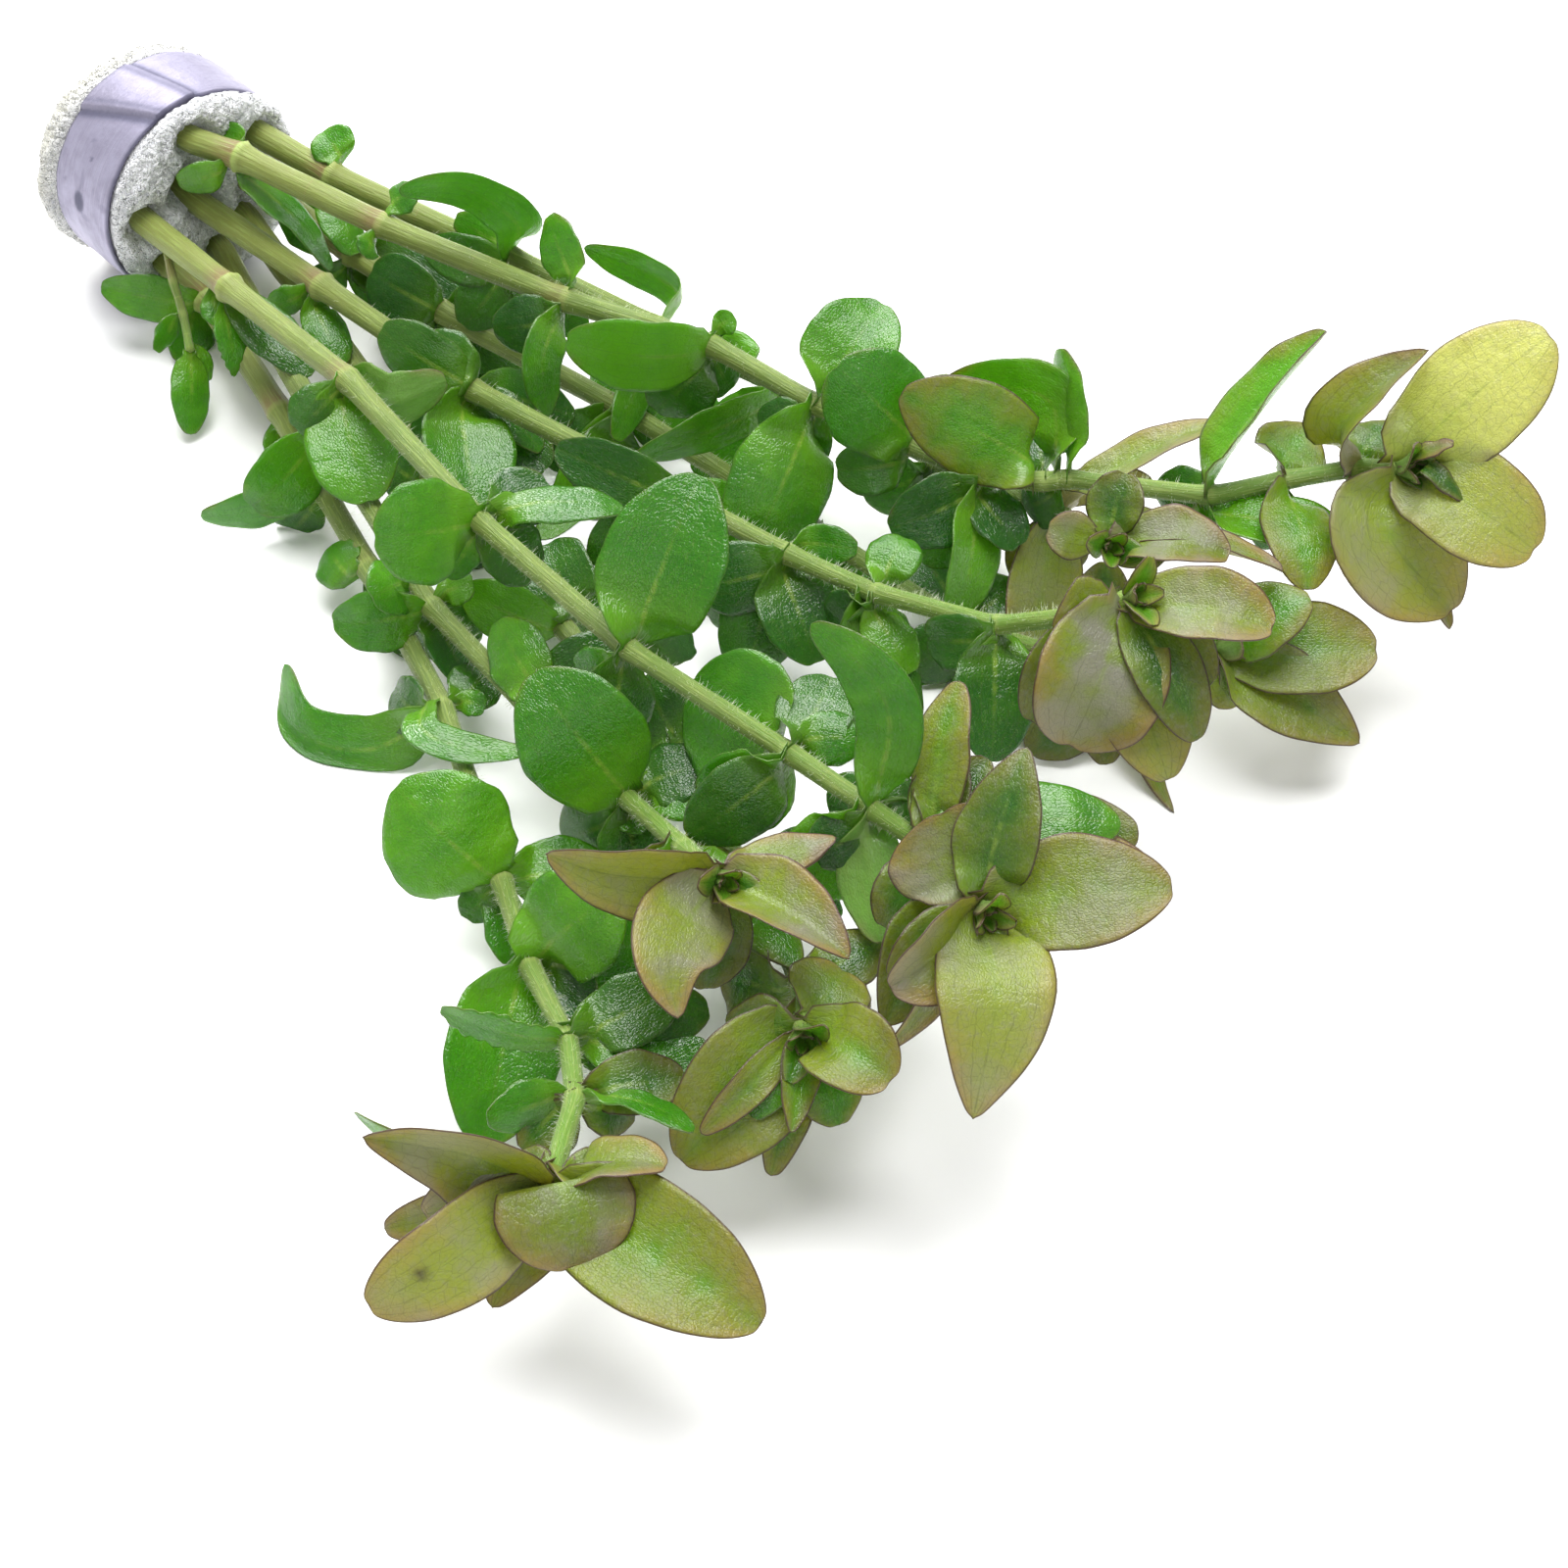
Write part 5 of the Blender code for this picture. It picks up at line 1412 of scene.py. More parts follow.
class NodeSheet:
    """A material's nodes, with a short call for each kind that the finishes use."""

    def __init__(self, name: str) -> None:
        """Start an empty material.

        Args:
            name: The material's name.
        """
        self.material = bpy.data.materials.new(name)
        self.material.use_nodes = True
        self.tree = self.material.node_tree
        self.tree.nodes.clear()

    def add(self, kind: str, inputs: dict[int | str, object], out: int | str = 0,
            **settings: object) -> Socket | None:
        """Add a node.

        Args:
            kind: Blender's name for it.
            inputs: Values or output sockets for its inputs, by name or number.
            out: The output that is wanted.
            settings: Values for its own settings.

        Returns:
            The output socket, if it has any.
        """
        made = self.tree.nodes.new(kind)
        for key, value in settings.items():
            setattr(made, key, value)
        for key, value in inputs.items():
            socket = made.inputs[key]
            if isinstance(value, Socket):
                self.tree.links.new(value, socket)
            elif isinstance(value, tuple) and socket.type == "RGBA":
                socket.default_value = (*value, 1.0)
            else:
                socket.default_value = value
        return made.outputs[out] if len(made.outputs) else None

    def sum(self, operation: str, *inputs: object) -> Socket:
        """Do one of Blender's sums on numbers."""
        return self.add("ShaderNodeMath", dict(enumerate(inputs)), operation=operation)

    def times(self, *inputs: object) -> Socket:
        """Multiply two numbers."""
        return self.sum("MULTIPLY", *inputs)

    def fade(self, value: object, low: float, high: float, first: float = 0.0, last: float = 1.0) -> Socket:
        """Turn the values from low to high into a soft share from first to last."""
        inputs = dict(enumerate((value, low, high, first, last)))
        return self.add("ShaderNodeMapRange", inputs, interpolation_type="SMOOTHSTEP")

    def blend(self, share: object, low: object, high: object, kind: str = "MIX") -> Socket:
        """Mix two colours by the second one's share."""
        return self.add("ShaderNodeMix", {0: share, 6: low, 7: high}, 2, data_type="RGBA", blend_type=kind)

    def read(self, name: str) -> tuple[Socket, list[Socket]]:
        """Read a point value of the mesh, whole and as its three numbers."""
        whole = self.add("ShaderNodeAttribute", {}, "Vector", attribute_name=name)
        return whole, list(self.add("ShaderNodeSeparateXYZ", {0: whole}).node.outputs)

    def join(self, *inputs: object) -> Socket:
        """Join three numbers into a vector."""
        return self.add("ShaderNodeCombineXYZ", dict(enumerate(inputs)))

    def stretch(self, vector: Socket, *scale: float) -> Socket:
        """Scale a vector along each of its axes."""
        return self.add("ShaderNodeVectorMath", {0: vector, 1: scale}, operation="MULTIPLY")

    def cloud(self, vector: Socket, scale: float, detail: float = 3.0, rough: float = 0.55) -> Socket:
        """Make soft noise from 0 to 1, with some finer layers of a given strength."""
        inputs = {"Vector": vector, "Scale": scale, "Detail": detail, "Roughness": rough}
        return self.add("ShaderNodeTexNoise", inputs)

    def cells(self, vector: Socket, scale: float, dimensions: str = "3D") -> Socket:
        """Make a pattern of cells and give the distance to a cell's edge."""
        inputs = {"Vector": vector, "Scale": scale}
        return self.add("ShaderNodeTexVoronoi", inputs, "Distance", feature="DISTANCE_TO_EDGE",
                        voronoi_dimensions=dimensions)

    def bump(self, height: Socket, distance: float, strength: float = 1.0, below: Socket | None = None) -> Socket:
        """Turn heights of some metres into slopes, which may lie on others."""
        inputs = {"Height": height, "Distance": distance, "Strength": strength}
        return self.add("ShaderNodeBump", inputs if below is None else inputs | {"Normal": below})

    def surface(self, **values: object) -> Socket:
        """Add the main shader, its inputs' names written with underscores."""
        return self.add("ShaderNodeBsdfPrincipled", {key.replace("_", " "): value for key, value in values.items()})

    def close(self, shader: Socket) -> bpy.types.Material:
        """Finish the material with the shader that it shows."""
        self.add("ShaderNodeOutputMaterial", {"Surface": shader})
        return self.material


Colour = tuple[float, float, float]


@dataclass(frozen=True)
class LeafFinish:
    """The skin of the leaves: glossy green that turns to matt olive and bronze with age. Its colour also holds
    painted light: pale glints, lilac-grey sheen, backlight glow mixed into yellowed skin, and shade on the leaves
    deep inside.
    """

    name: str = "leaf_skin"
    deep: Colour = (0.014, 0.118, 0.003)
    fresh: Colour = (0.110, 0.325, 0.008)
    inner: Colour = (0.008, 0.060, 0.010)
    foot: Colour = (0.17, 0.37, 0.015)
    midrib: Colour = (0.31, 0.46, 0.06)
    olive: Colour = (0.145, 0.215, 0.010)
    bronze: Colour = (0.27, 0.195, 0.045)
    straw_and_backlight: Colour = (0.60, 0.61, 0.17)
    heart: Colour = (0.20, 0.33, 0.015)
    lilac_sheen: Colour = (0.26, 0.24, 0.225)
    vein: Colour = (0.13, 0.13, 0.03)
    rim: Colour = (0.075, 0.025, 0.035)
    green_rim: Colour = (0.05, 0.10, 0.01)
    pale_green: Colour = (0.22, 0.37, 0.09)
    pale_bronze: Colour = (0.36, 0.29, 0.17)
    glow_green: Colour = (0.32, 0.76, 0.010)
    glow_bronze: Colour = (0.66, 0.66, 0.05)
    glow_straw: Colour = (0.88, 0.92, 0.28)
    dark_olive: Colour = (0.075, 0.11, 0.012)
    margin: Colour = (0.38, 0.20, 0.12)
    blot: Colour = (0.07, 0.045, 0.02)
    dim_lines: Colour = (0.12, 0.2, 0.01)
    dim_all: Colour = (0.5, 0.5, 0.5)
    dim_rim: Colour = (0.06, 0.03, 0.015)
    through: float = 0.34

    def material(self) -> bpy.types.Material:
        """Make the material.

        Returns:
            The material.
        """
        sheet = NodeSheet(self.name)
        times, fade, blend = sheet.times, sheet.fade, sheet.blend
        _, (u, s, age) = sheet.read("ribs")
        blade, (across, length, seed) = sheet.read("blade")
        _, (rim, under, spot) = sheet.read("edge")
        _, (pale, dark, _) = sheet.read("tone")
        size = sheet.sum("ABSOLUTE", u)
        wide = sheet.sum("ABSOLUTE", across)
        patches = sheet.cloud(blade, 0.28, 3.0)
        mottle = sheet.cloud(blade, 1.7, 3.0, 0.65)
        broken = fade(sheet.cloud(blade, 0.8, 1.0), 0.35, 0.6, 0.25, 1.0)
        midrib = times(fade(wide, 0.08, 0.42, 1.0, 0.0), fade(s, 0.05, 0.7, 1.0, 0.06))
        midrib = times(midrib, broken)
        wander = sheet.sum("MULTIPLY_ADD", sheet.cloud(blade, 0.5, 2.0), 0.5, -0.25)
        lane = sheet.sum("MULTIPLY_ADD", size, 3.0, wander)
        off_lane = sheet.sum("ABSOLUTE", sheet.sum("SUBTRACT", lane, sheet.sum("ROUND", lane)))
        lane_mm = sheet.sum("DIVIDE", times(off_lane, wide), times(sheet.sum("MAXIMUM", size, 0.02), 3.0))
        veins = times(fade(lane_mm, 0.02, 0.1, 1.0, 0.0), broken)
        flat = sheet.join(sheet.sum("ADD", across, seed), sheet.sum("MULTIPLY_ADD", length, 0.6, seed))
        net = fade(sheet.cells(flat, 1.25, "2D"), 0.0, 0.06, 1.0, 0.0)
        lines = sheet.sum("MAXIMUM", times(veins, 0.8), times(net, 0.6))
        tone = fade(sheet.cloud(sheet.join(seed, 0.0, 0.0), 0.37, 0.0), 0.3, 0.7)
        share = sheet.sum("MULTIPLY_ADD", tone, 0.8, sheet.sum("MULTIPLY_ADD", patches, 1.1, -0.5))
        greens = blend(fade(share, 0.1, 0.95), self.deep, self.fresh)
        greens = blend(times(mottle, 0.35), greens, self.fresh)
        greens = blend(fade(s, 0.0, 0.45, 0.6, 0.0), greens, self.foot)
        # where pale is below 0 the skin darkens towards inner: a darker tone on some seen leaves, painted shade on
        # the leaves deep inside the bunch
        greens = blend(times(dark, fade(s, 0.0, 0.4, 0.5, 1.0)), greens, self.inner)
        greens = blend(times(lines, 0.14), greens, self.midrib)
        greens = blend(times(midrib, 0.7), greens, self.midrib)
        greens = blend(fade(rim, 0.04, 0.2, 0.6, 0.0), greens, self.green_rim)
        outward = sheet.sum("ADD", times(size, 0.75), fade(s, 0.55, 1.0, 0.0, 0.45))
        outward = sheet.sum("ADD", outward, sheet.sum("MULTIPLY_ADD", patches, 1.1, -0.6))
        ripe = fade(times(outward, age), 0.12, 0.8)
        browns = blend(ripe, self.olive, self.bronze)
        # pale mixes a straw yellow into the skin: partly yellowed skin, partly painted backlight glow on leaves that
        # stand against the lamp behind
        browns = blend(times(pale, fade(ripe, 0.2, 1.2, 1.0, 0.6)), browns, self.straw_and_backlight)
        # the same darker tone and painted shade on the olive and bronze leaves
        browns = blend(times(dark, 0.7), browns, self.dark_olive)
        browns = blend(fade(s, 0.0, 0.65, 0.7, 0.0), browns, self.heart)
        # painted sheen: mottled and broad lilac-grey patches on the older leaves stand for light reflected off their
        # skin
        browns = blend(times(fade(mottle, 0.42, 0.75), 0.35), browns, self.lilac_sheen)
        sheen_patches = times(fade(sheet.cloud(blade, 0.13, 2.0), 0.46, 0.66), fade(age, 0.6, 0.95))
        browns = blend(times(sheen_patches, fade(pale, 0.0, 0.8, 0.8, 0.1)), browns, self.lilac_sheen)
        browns = blend(times(lines, 0.42), browns, self.vein)
        browns = blend(times(midrib, 0.45), browns, self.midrib)
        margin = times(times(fade(rim, 0.1, 1.3, 0.5, 0.0), patches), fade(age, 0.6, 0.9))
        browns = blend(margin, browns, self.margin)
        grown = fade(sheet.sum("ADD", age, sheet.sum("MULTIPLY_ADD", outward, 0.5, -0.25)), 0.15, 0.6)
        upper = blend(grown, greens, browns)
        lower = blend(grown, self.pale_green, self.pale_bronze)
        lower = blend(times(lines, 0.3), lower, self.midrib)
        skin = blend(times(under, 0.85), upper, lower)
        # painted glints: tiny pale dots mixed into the skin stand for points of light glinting off the leaves
        glint_and_stain_specks = times(fade(sheet.cloud(blade, 4.5, 0.0), 0.7, 0.8), 0.4)
        skin = blend(glint_and_stain_specks, skin, self.pale_green)
        hem = times(fade(rim, 0.07, 0.24, 1.0, 0.0), grown)
        skin = blend(times(hem, 0.75), skin, self.rim)
        skin = blend(times(spot, 0.9), skin, self.blot)
        glow = blend(pale, blend(grown, self.glow_green, self.glow_bronze), self.glow_straw)
        glow = blend(times(lines, 0.5), glow, self.dim_lines, "MULTIPLY")
        # painted shade also dims the light passing through the leaves deep inside
        glow = blend(times(dark, 0.8), glow, self.dim_all, "MULTIPLY")
        glow = blend(sheet.sum("MAXIMUM", times(hem, 0.65), spot), glow, self.dim_rim)
        slopes = sheet.bump(mottle, 0.00007, 0.7, sheet.bump(patches, 0.0008, 0.5))
        slopes = sheet.bump(sheet.sum("MINIMUM", sheet.cells(flat, 3.2, "2D"), 0.25), 0.00013, 0.6, slopes)
        shine = sheet.sum("ADD", fade(grown, 0.0, 1.0, 0.23, 0.38), sheet.sum("MULTIPLY_ADD", mottle, 0.2, -0.1))
        coat = fade(grown, 0.0, 1.0, 0.45, 0.15)
        shader = sheet.surface(Base_Color=skin, Roughness=shine, Normal=slopes, IOR=1.48, Coat_Weight=coat,
                               Coat_Roughness=0.09, Coat_Normal=slopes, Sheen_Weight=0.03, Sheen_Roughness=0.45,
                               Sheen_Tint=(0.8, 0.9, 1.0))
        passing = sheet.add("ShaderNodeBsdfTranslucent", {"Color": glow, "Normal": slopes})
        return sheet.close(sheet.add("ShaderNodeMixShader", {0: self.through, 1: shader, 2: passing}))


@dataclass(frozen=True)
class StemFinish:
    """The ridged skin of the stems, brown and pink low down and yellow-green above."""

    name: str = "stem_skin"
    old: Colour = (0.205, 0.240, 0.048)
    blush: Colour = (0.22, 0.125, 0.06)
    green: Colour = (0.125, 0.195, 0.028)
    young: Colour = (0.125, 0.25, 0.022)
    pale: Colour = (0.31, 0.40, 0.10)
    scar: Colour = (0.12, 0.11, 0.03)

    def material(self) -> bpy.types.Material:
        """Make the material.

        Returns:
            The material.
        """
        sheet = NodeSheet(self.name)
        times, fade, blend = sheet.times, sheet.fade, sheet.blend
        skin, _ = sheet.read("skin")
        _, (away, share, _) = sheet.read("growth")
        streaks = sheet.cloud(sheet.stretch(skin, 4.0, 4.0, 0.12), 1.6, 4.0, 0.6)
        patches = sheet.cloud(sheet.stretch(skin, 1.0, 1.0, 0.1), 0.9, 3.0)
        grain = sheet.cloud(sheet.stretch(skin, 9.0, 9.0, 1.2), 1.5, 3.0)
        at_joint = fade(sheet.sum("ABSOLUTE", away), 0.1, 0.75, 1.0, 0.0)
        below = fade(away, -4.5, 0.0)
        below = times(below, fade(away, 0.0, 0.6, 1.0, 0.0))
        colour = blend(fade(share, 0.1, 0.45), self.old, self.green)
        colour = blend(fade(share, 0.6, 1.0), colour, self.young)
        colour = blend(times(fade(patches, 0.45, 0.7), 0.4), colour, self.old)
        low_down = fade(share, 0.2, 0.55, 0.75, 0.05)
        colour = blend(times(below, low_down), colour, self.blush)
        colour = blend(fade(streaks, 0.47, 0.66, 0.0, 0.6), colour, self.pale)
        colour = blend(fade(grain, 0.6, 0.75, 0.0, 0.3), colour, self.scar)
        at_joint = times(at_joint, fade(share, 0.1, 0.3, 0.95, 0.4))
        colour = blend(at_joint, colour, self.pale)
        slopes = sheet.bump(streaks, 0.00025, 0.8)
        slopes = sheet.bump(grain, 0.00005, 0.6, slopes)
        shine = sheet.sum("MULTIPLY_ADD", grain, 0.25, 0.3)
        return sheet.close(sheet.surface(Base_Color=colour, Roughness=shine, Normal=slopes, IOR=1.42,
                                         Subsurface_Weight=0.25, Subsurface_Radius=(0.5, 0.9, 0.25),
                                         Subsurface_Scale=0.0012, Sheen_Weight=0.15, Sheen_Roughness=0.4))


@dataclass(frozen=True)
class HairFinish:
    """The pale hairs of the stems."""

    name: str = "stem_hair"
    root: Colour = (0.50, 0.60, 0.28)
    tip: Colour = (0.78, 0.83, 0.65)

    def material(self) -> bpy.types.Material:
        """Make the material.

        Returns:
            The material.
        """
        sheet = NodeSheet(self.name)
        fade, blend = sheet.fade, sheet.blend
        place = sheet.add("ShaderNodeTexCoord", {}, "Object")
        patches = sheet.cloud(place, 900.0, 2.0)
        colour = blend(patches, self.root, self.tip)
        slopes = sheet.bump(patches, 0.00002, 0.4)
        return sheet.close(sheet.surface(Base_Color=colour, Roughness=fade(patches, 0.2, 0.8, 0.4, 0.6),
                                         Normal=slopes))


@dataclass(frozen=True)
class FoamFinish:
    """White foam with open cells, yellowed at its far end, with painted shade in its cells, in its dips round the
    stems and in its hollow.
    """

    name: str = "open_foam"
    white: Colour = (0.97, 0.975, 0.99)
    cream: Colour = (0.86, 0.85, 0.75)
    deep: Colour = (0.25, 0.28, 0.37)
    grey: Colour = (0.78, 0.79, 0.83)
    dark: Colour = (0.02, 0.022, 0.018)

    def material(self) -> bpy.types.Material:
        """Make the material.

        Returns:
            The material.
        """
        sheet = NodeSheet(self.name)
        times, fade, blend = sheet.times, sheet.fade, sheet.blend
        place, (x, _, _) = sheet.read("foam_place")
        _, (hollow_shade, pore_shade, _) = sheet.read("foam_depth")
        cells = sheet.cells(place, 1.25)
        fine = sheet.cells(place, 2.7)
        patches = sheet.cloud(place, 0.25, 3.0)
        colour = blend(fade(x, -4.0, -8.0), self.white, self.cream)
        colour = blend(fade(patches, 0.45, 0.75, 0.0, 0.3), colour, self.grey)
        # painted shade: the open cells and the pits of the surface are darkened towards deep
        holes = fade(cells, 0.22, 0.34)
        holes = times(holes, fade(patches, 0.3, 0.6, 0.35, 0.9))
        holes = sheet.sum("MAXIMUM", holes, times(fade(fine, 0.2, 0.3), 0.85))
        holes = sheet.sum("MAXIMUM", times(holes, 0.8), times(pore_shade, 0.5))
        colour = blend(times(holes, 0.45), colour, self.deep)
        # painted shade: the dips round the stems and the hollow are darkened towards dark
        colour = blend(times(hollow_shade, 0.93), colour, self.dark)
        slopes = sheet.bump(sheet.sum("MINIMUM", cells, 0.3), 0.0009, 1.0)
        slopes = sheet.bump(sheet.sum("MINIMUM", fine, 0.2), 0.0005, 1.0, slopes)
        shine = fade(fine, 0.02, 0.15, 0.18, 0.7)
        return sheet.close(sheet.surface(Base_Color=colour, Roughness=shine, Normal=slopes,
                                         Subsurface_Weight=0.2, Subsurface_Radius=(1.0, 1.0, 1.0),
                                         Subsurface_Scale=0.001))


@dataclass(frozen=True)
class LeadFinish:
    """The lead strip's lavender-grey skin with drawn lines, dull patches and dark stains, and painted shade on its
    upper part and beside the edges of its lapped end.
    """

    name: str = "lead_skin"
    bright: Colour = (0.41, 0.39, 0.52)
    dull: Colour = (0.29, 0.275, 0.37)
    pale: Colour = (0.49, 0.465, 0.58)
    stain_and_lap_shadow: Colour = (0.10, 0.10, 0.16)
    lapped: Colour = (0.37, 0.335, 0.42)
    score: Colour = (0.2, 0.19, 0.27)
    edge: Colour = (0.09, 0.085, 0.14)

    def material(self) -> bpy.types.Material:
        """Make the material.

        Returns:
            The material.
        """
        sheet = NodeSheet(self.name)
        times, fade, blend = sheet.times, sheet.fade, sheet.blend
        place, (turn, _, lap) = sheet.read("strip")
        _, (rim, stain_and_lap_shadow, _) = sheet.read("strip_marks")
        lines = sheet.cloud(sheet.stretch(place, 0.02, 1.6, 0.0), 2.2, 4.0, 0.7)
        scores = sheet.cloud(sheet.stretch(place, 0.05, 5.0, 0.0), 2.0, 2.0, 0.6)
        patches = sheet.cloud(sheet.stretch(place, 1.0, 1.3, 1.0), 0.22, 4.0, 0.6)
        glint_and_stain_specks = sheet.cloud(place, 2.6, 3.0, 0.7)
        colour = blend(fade(patches, 0.3, 0.72), self.bright, self.dull)
        colour = blend(fade(lines, 0.5, 0.75, 0.0, 0.7), colour, self.pale)
        colour = blend(times(lap, 0.45), colour, self.lapped)
        # painted shade: the upper part of the band is darkened towards dull
        painted_top_shade = fade(sheet.sum("ABSOLUTE", turn), 3.0, 16.0, 0.8, 0.0)
        colour = blend(painted_top_shade, colour, self.dull)
        colour = blend(fade(scores, 0.56, 0.7, 0.0, 0.5), colour, self.score)
        colour = blend(fade(glint_and_stain_specks, 0.68, 0.76, 0.0, 0.6), colour, self.stain_and_lap_shadow)
        # the stain map holds real stains and painted shadows beside the lap's edges
        colour = blend(times(stain_and_lap_shadow, 0.92), colour, self.stain_and_lap_shadow)
        colour = blend(fade(rim, 0.0, 0.45, 0.75, 0.0), colour, self.edge)
        slopes = sheet.bump(lines, 0.0003, 0.5)
        slopes = sheet.bump(patches, 0.0006, 0.5, slopes)
        shine = sheet.sum("ADD", fade(patches, 0.2, 0.8, 0.42, 0.58), times(stain_and_lap_shadow, 0.15))
        return sheet.close(sheet.surface(Base_Color=colour, Roughness=shine, Metallic=0.4, Normal=slopes))


@dataclass(frozen=True)
class FloorFinish:
    """The plain white surface that the bunch lies on."""

    name: str = "white_floor"
    white: Colour = (0.93, 0.93, 0.93)
    grain: Colour = (0.9, 0.9, 0.9)

    def material(self) -> bpy.types.Material:
        """Make the material.

        Returns:
            The material.
        """
        sheet = NodeSheet(self.name)
        place = sheet.add("ShaderNodeTexCoord", {}, "Object")
        grain = sheet.cloud(place, 60.0, 2.0)
        colour = sheet.blend(sheet.times(grain, 0.1), self.white, self.grain)
        return sheet.close(sheet.surface(Base_Color=colour, Roughness=0.6))


class StripMark(Enum):
    """The kinds of dark mark on the lead strip."""

    OVAL = (0.95, 1.5)
    SPOT = (0.28, 0.32)
    SMEAR = (0.35, 1.6)
    FAINT = (0.9, 0.5)


@dataclass
class LeadBand:
    """The lead strip wound once round the foam, with its lapped end and its dents."""

    rounds: int = 300
    across: int = 30
    edge_wave: float = 0.13
    dent: float = 0.11
    marks: tuple[tuple[float, float, StripMark, float], ...] = (
        (80, 206, StripMark.OVAL, 1.0), (93, 162, StripMark.SPOT, 0.8), (96, 143, StripMark.SPOT, 0.4),
        (83, 184, StripMark.SMEAR, 0.35), (66, 182, StripMark.SPOT, 0.35), (118, 188, StripMark.FAINT, 0.35),
        (104, 214, StripMark.FAINT, 0.3), (76, 108, StripMark.SPOT, 0.9), (86, 222, StripMark.FAINT, 0.3),
    )

    def seen_at(self, column: float, row: float) -> tuple[float, float]:
        """Find the place on the strip that is seen at a point of the picture.

        Args:
            column: Picture column in pixels.
            row: Picture row in pixels.

        Returns:
            The angle from the top in degrees and the place across the strip.
        """
        line = VIEW.sight(column, row)
        start = VIEW.place - np.array([0.0, 0.0, SIZES.band_centre])
        a = line[1] ** 2 + line[2] ** 2
        b = start[1] * line[1] + start[2] * line[2]
        c = start[1] ** 2 + start[2] ** 2 - SIZES.band_radius ** 2
        hit = start + line * (-b - math.sqrt(max(0.0, b * b - a * c))) / a
        return math.degrees(math.atan2(hit[1], hit[2])), float(hit[0])

    def flap_share(self, angle: Vec, x: Vec) -> tuple[Vec, Vec]:
        """Find where the strip is doubled by its lapped end.

        Args:
            angle: Angles from the top in degrees.
            x: Places across the strip.

        Returns:
            How much each place is raised, and how much painted shadow lies beside the lap's edges, as shares.
        """
        share = (x + SIZES.band_width / 2) / SIZES.band_width
        start = SIZES.flap_far[0] * (1 - share) + SIZES.flap_near[0] * share
        stop = SIZES.flap_far[1] * (1 - share) + SIZES.flap_near[1] * share
        raised = ease((angle - start) / 1.6) * ease((stop - angle) / 1.6)
        near_start = np.exp(-((angle - start + 2.2) / 2.6) ** 2) + 0.6 * np.exp(-((angle - start - 5.0) / 2.0) ** 2)
        near_stop = np.exp(-((angle - stop - 0.6) / 2.4) ** 2) + 0.7 * np.exp(-((angle - stop + 4.5) / 2.2) ** 2)
        return raised, np.clip(near_start + near_stop, 0, 1)

    def build(self, finish: bpy.types.Material) -> bpy.types.Object:
        """Make the band.

        Args:
            finish: The lead's material.

        Returns:
            The object.
        """
        angle = np.linspace(-180, 180, self.rounds, endpoint=False)[None, :]
        t = np.linspace(-1, 1, self.across)[:, None]
        turn = np.radians(angle)
        waves = self.edge_wave * (np.sin(3 * turn + 0.7) * 0.5 + np.sin(7 * turn + 2.0) * 0.3
                                  + np.sin(17 * turn + 4.0) * 0.2)
        half = SIZES.band_width / 2 - self.edge_wave + np.where(t > 0, waves, -waves[:, ::-1])
        x = t * half
        raised, shade = self.flap_share(angle + 0 * x, x)
        spots = np.stack([x.ravel(), (turn * SIZES.band_radius + 0 * x).ravel() * 0.35, 0 * x.ravel()], axis=-1)
        dents = ripple(spots, 0.05, 21).reshape(x.shape) * self.dent
        fine = ripple(spots * [1, 3, 1], 0.2, 22).reshape(x.shape) * 0.02
        flare = 0.12 * np.abs(t) ** 6
        outer = SIZES.band_radius + SIZES.flap_rise * raised + np.minimum(0.0, dents) + fine - 0.04 - flare
        inner = SIZES.band_radius - SIZES.band_wall + 0 * outer
        round_over = 0.16 * np.abs(t) ** 24
        outer = outer - round_over
        rows = []
        for radius in (outer, inner):
            z = np.maximum(0.0 if radius is outer else SIZES.band_wall * 0.8,
                           SIZES.band_centre + radius * np.cos(turn))
            rows.append(np.stack([x, radius * np.sin(turn), z], axis=-1).reshape(-1, 3))
        total = self.rounds * self.across
        faces = [grid_faces(self.across, self.rounds, closed=True, flip=True),
                 grid_faces(self.across, self.rounds, total, closed=True)]
        ring = np.append(np.arange(self.rounds), 0)
        last = ring + total - self.rounds
        faces.append(strip_faces(ring, ring + total))
        faces.append(strip_faces(last + total, last))
        # painted shadows beside the lap's edges start the stain map, and the real stain marks are laid over them
        stain_and_lap_shadow = shade * 0.95
        for column, row, kind, strength in self.marks:
            mark_angle, mark_x = self.seen_at(column, row)
            wide, long = kind.value
            off = ((x - mark_x) / wide) ** 2 + (np.radians(angle - mark_angle) * SIZES.band_radius / long) ** 2
            stain_and_lap_shadow = np.maximum(stain_and_lap_shadow, strength * ease(1.45 - off))
        rim = (1 - np.abs(t)) * SIZES.band_width / 2 + 0 * x
        strip = np.stack([turn * SIZES.band_radius + 0 * x, x, raised], axis=-1).reshape(-1, 3)
        marks = np.stack([rim, stain_and_lap_shadow, raised], axis=-1).reshape(-1, 3)
        work = MeshWork()
        work.add(np.concatenate(rows), np.concatenate(faces), strip=np.concatenate([strip, strip]),
                 strip_marks=np.concatenate([marks, marks * [0.2, 1, 1]]))
        return work.build("lead_strip", finish)


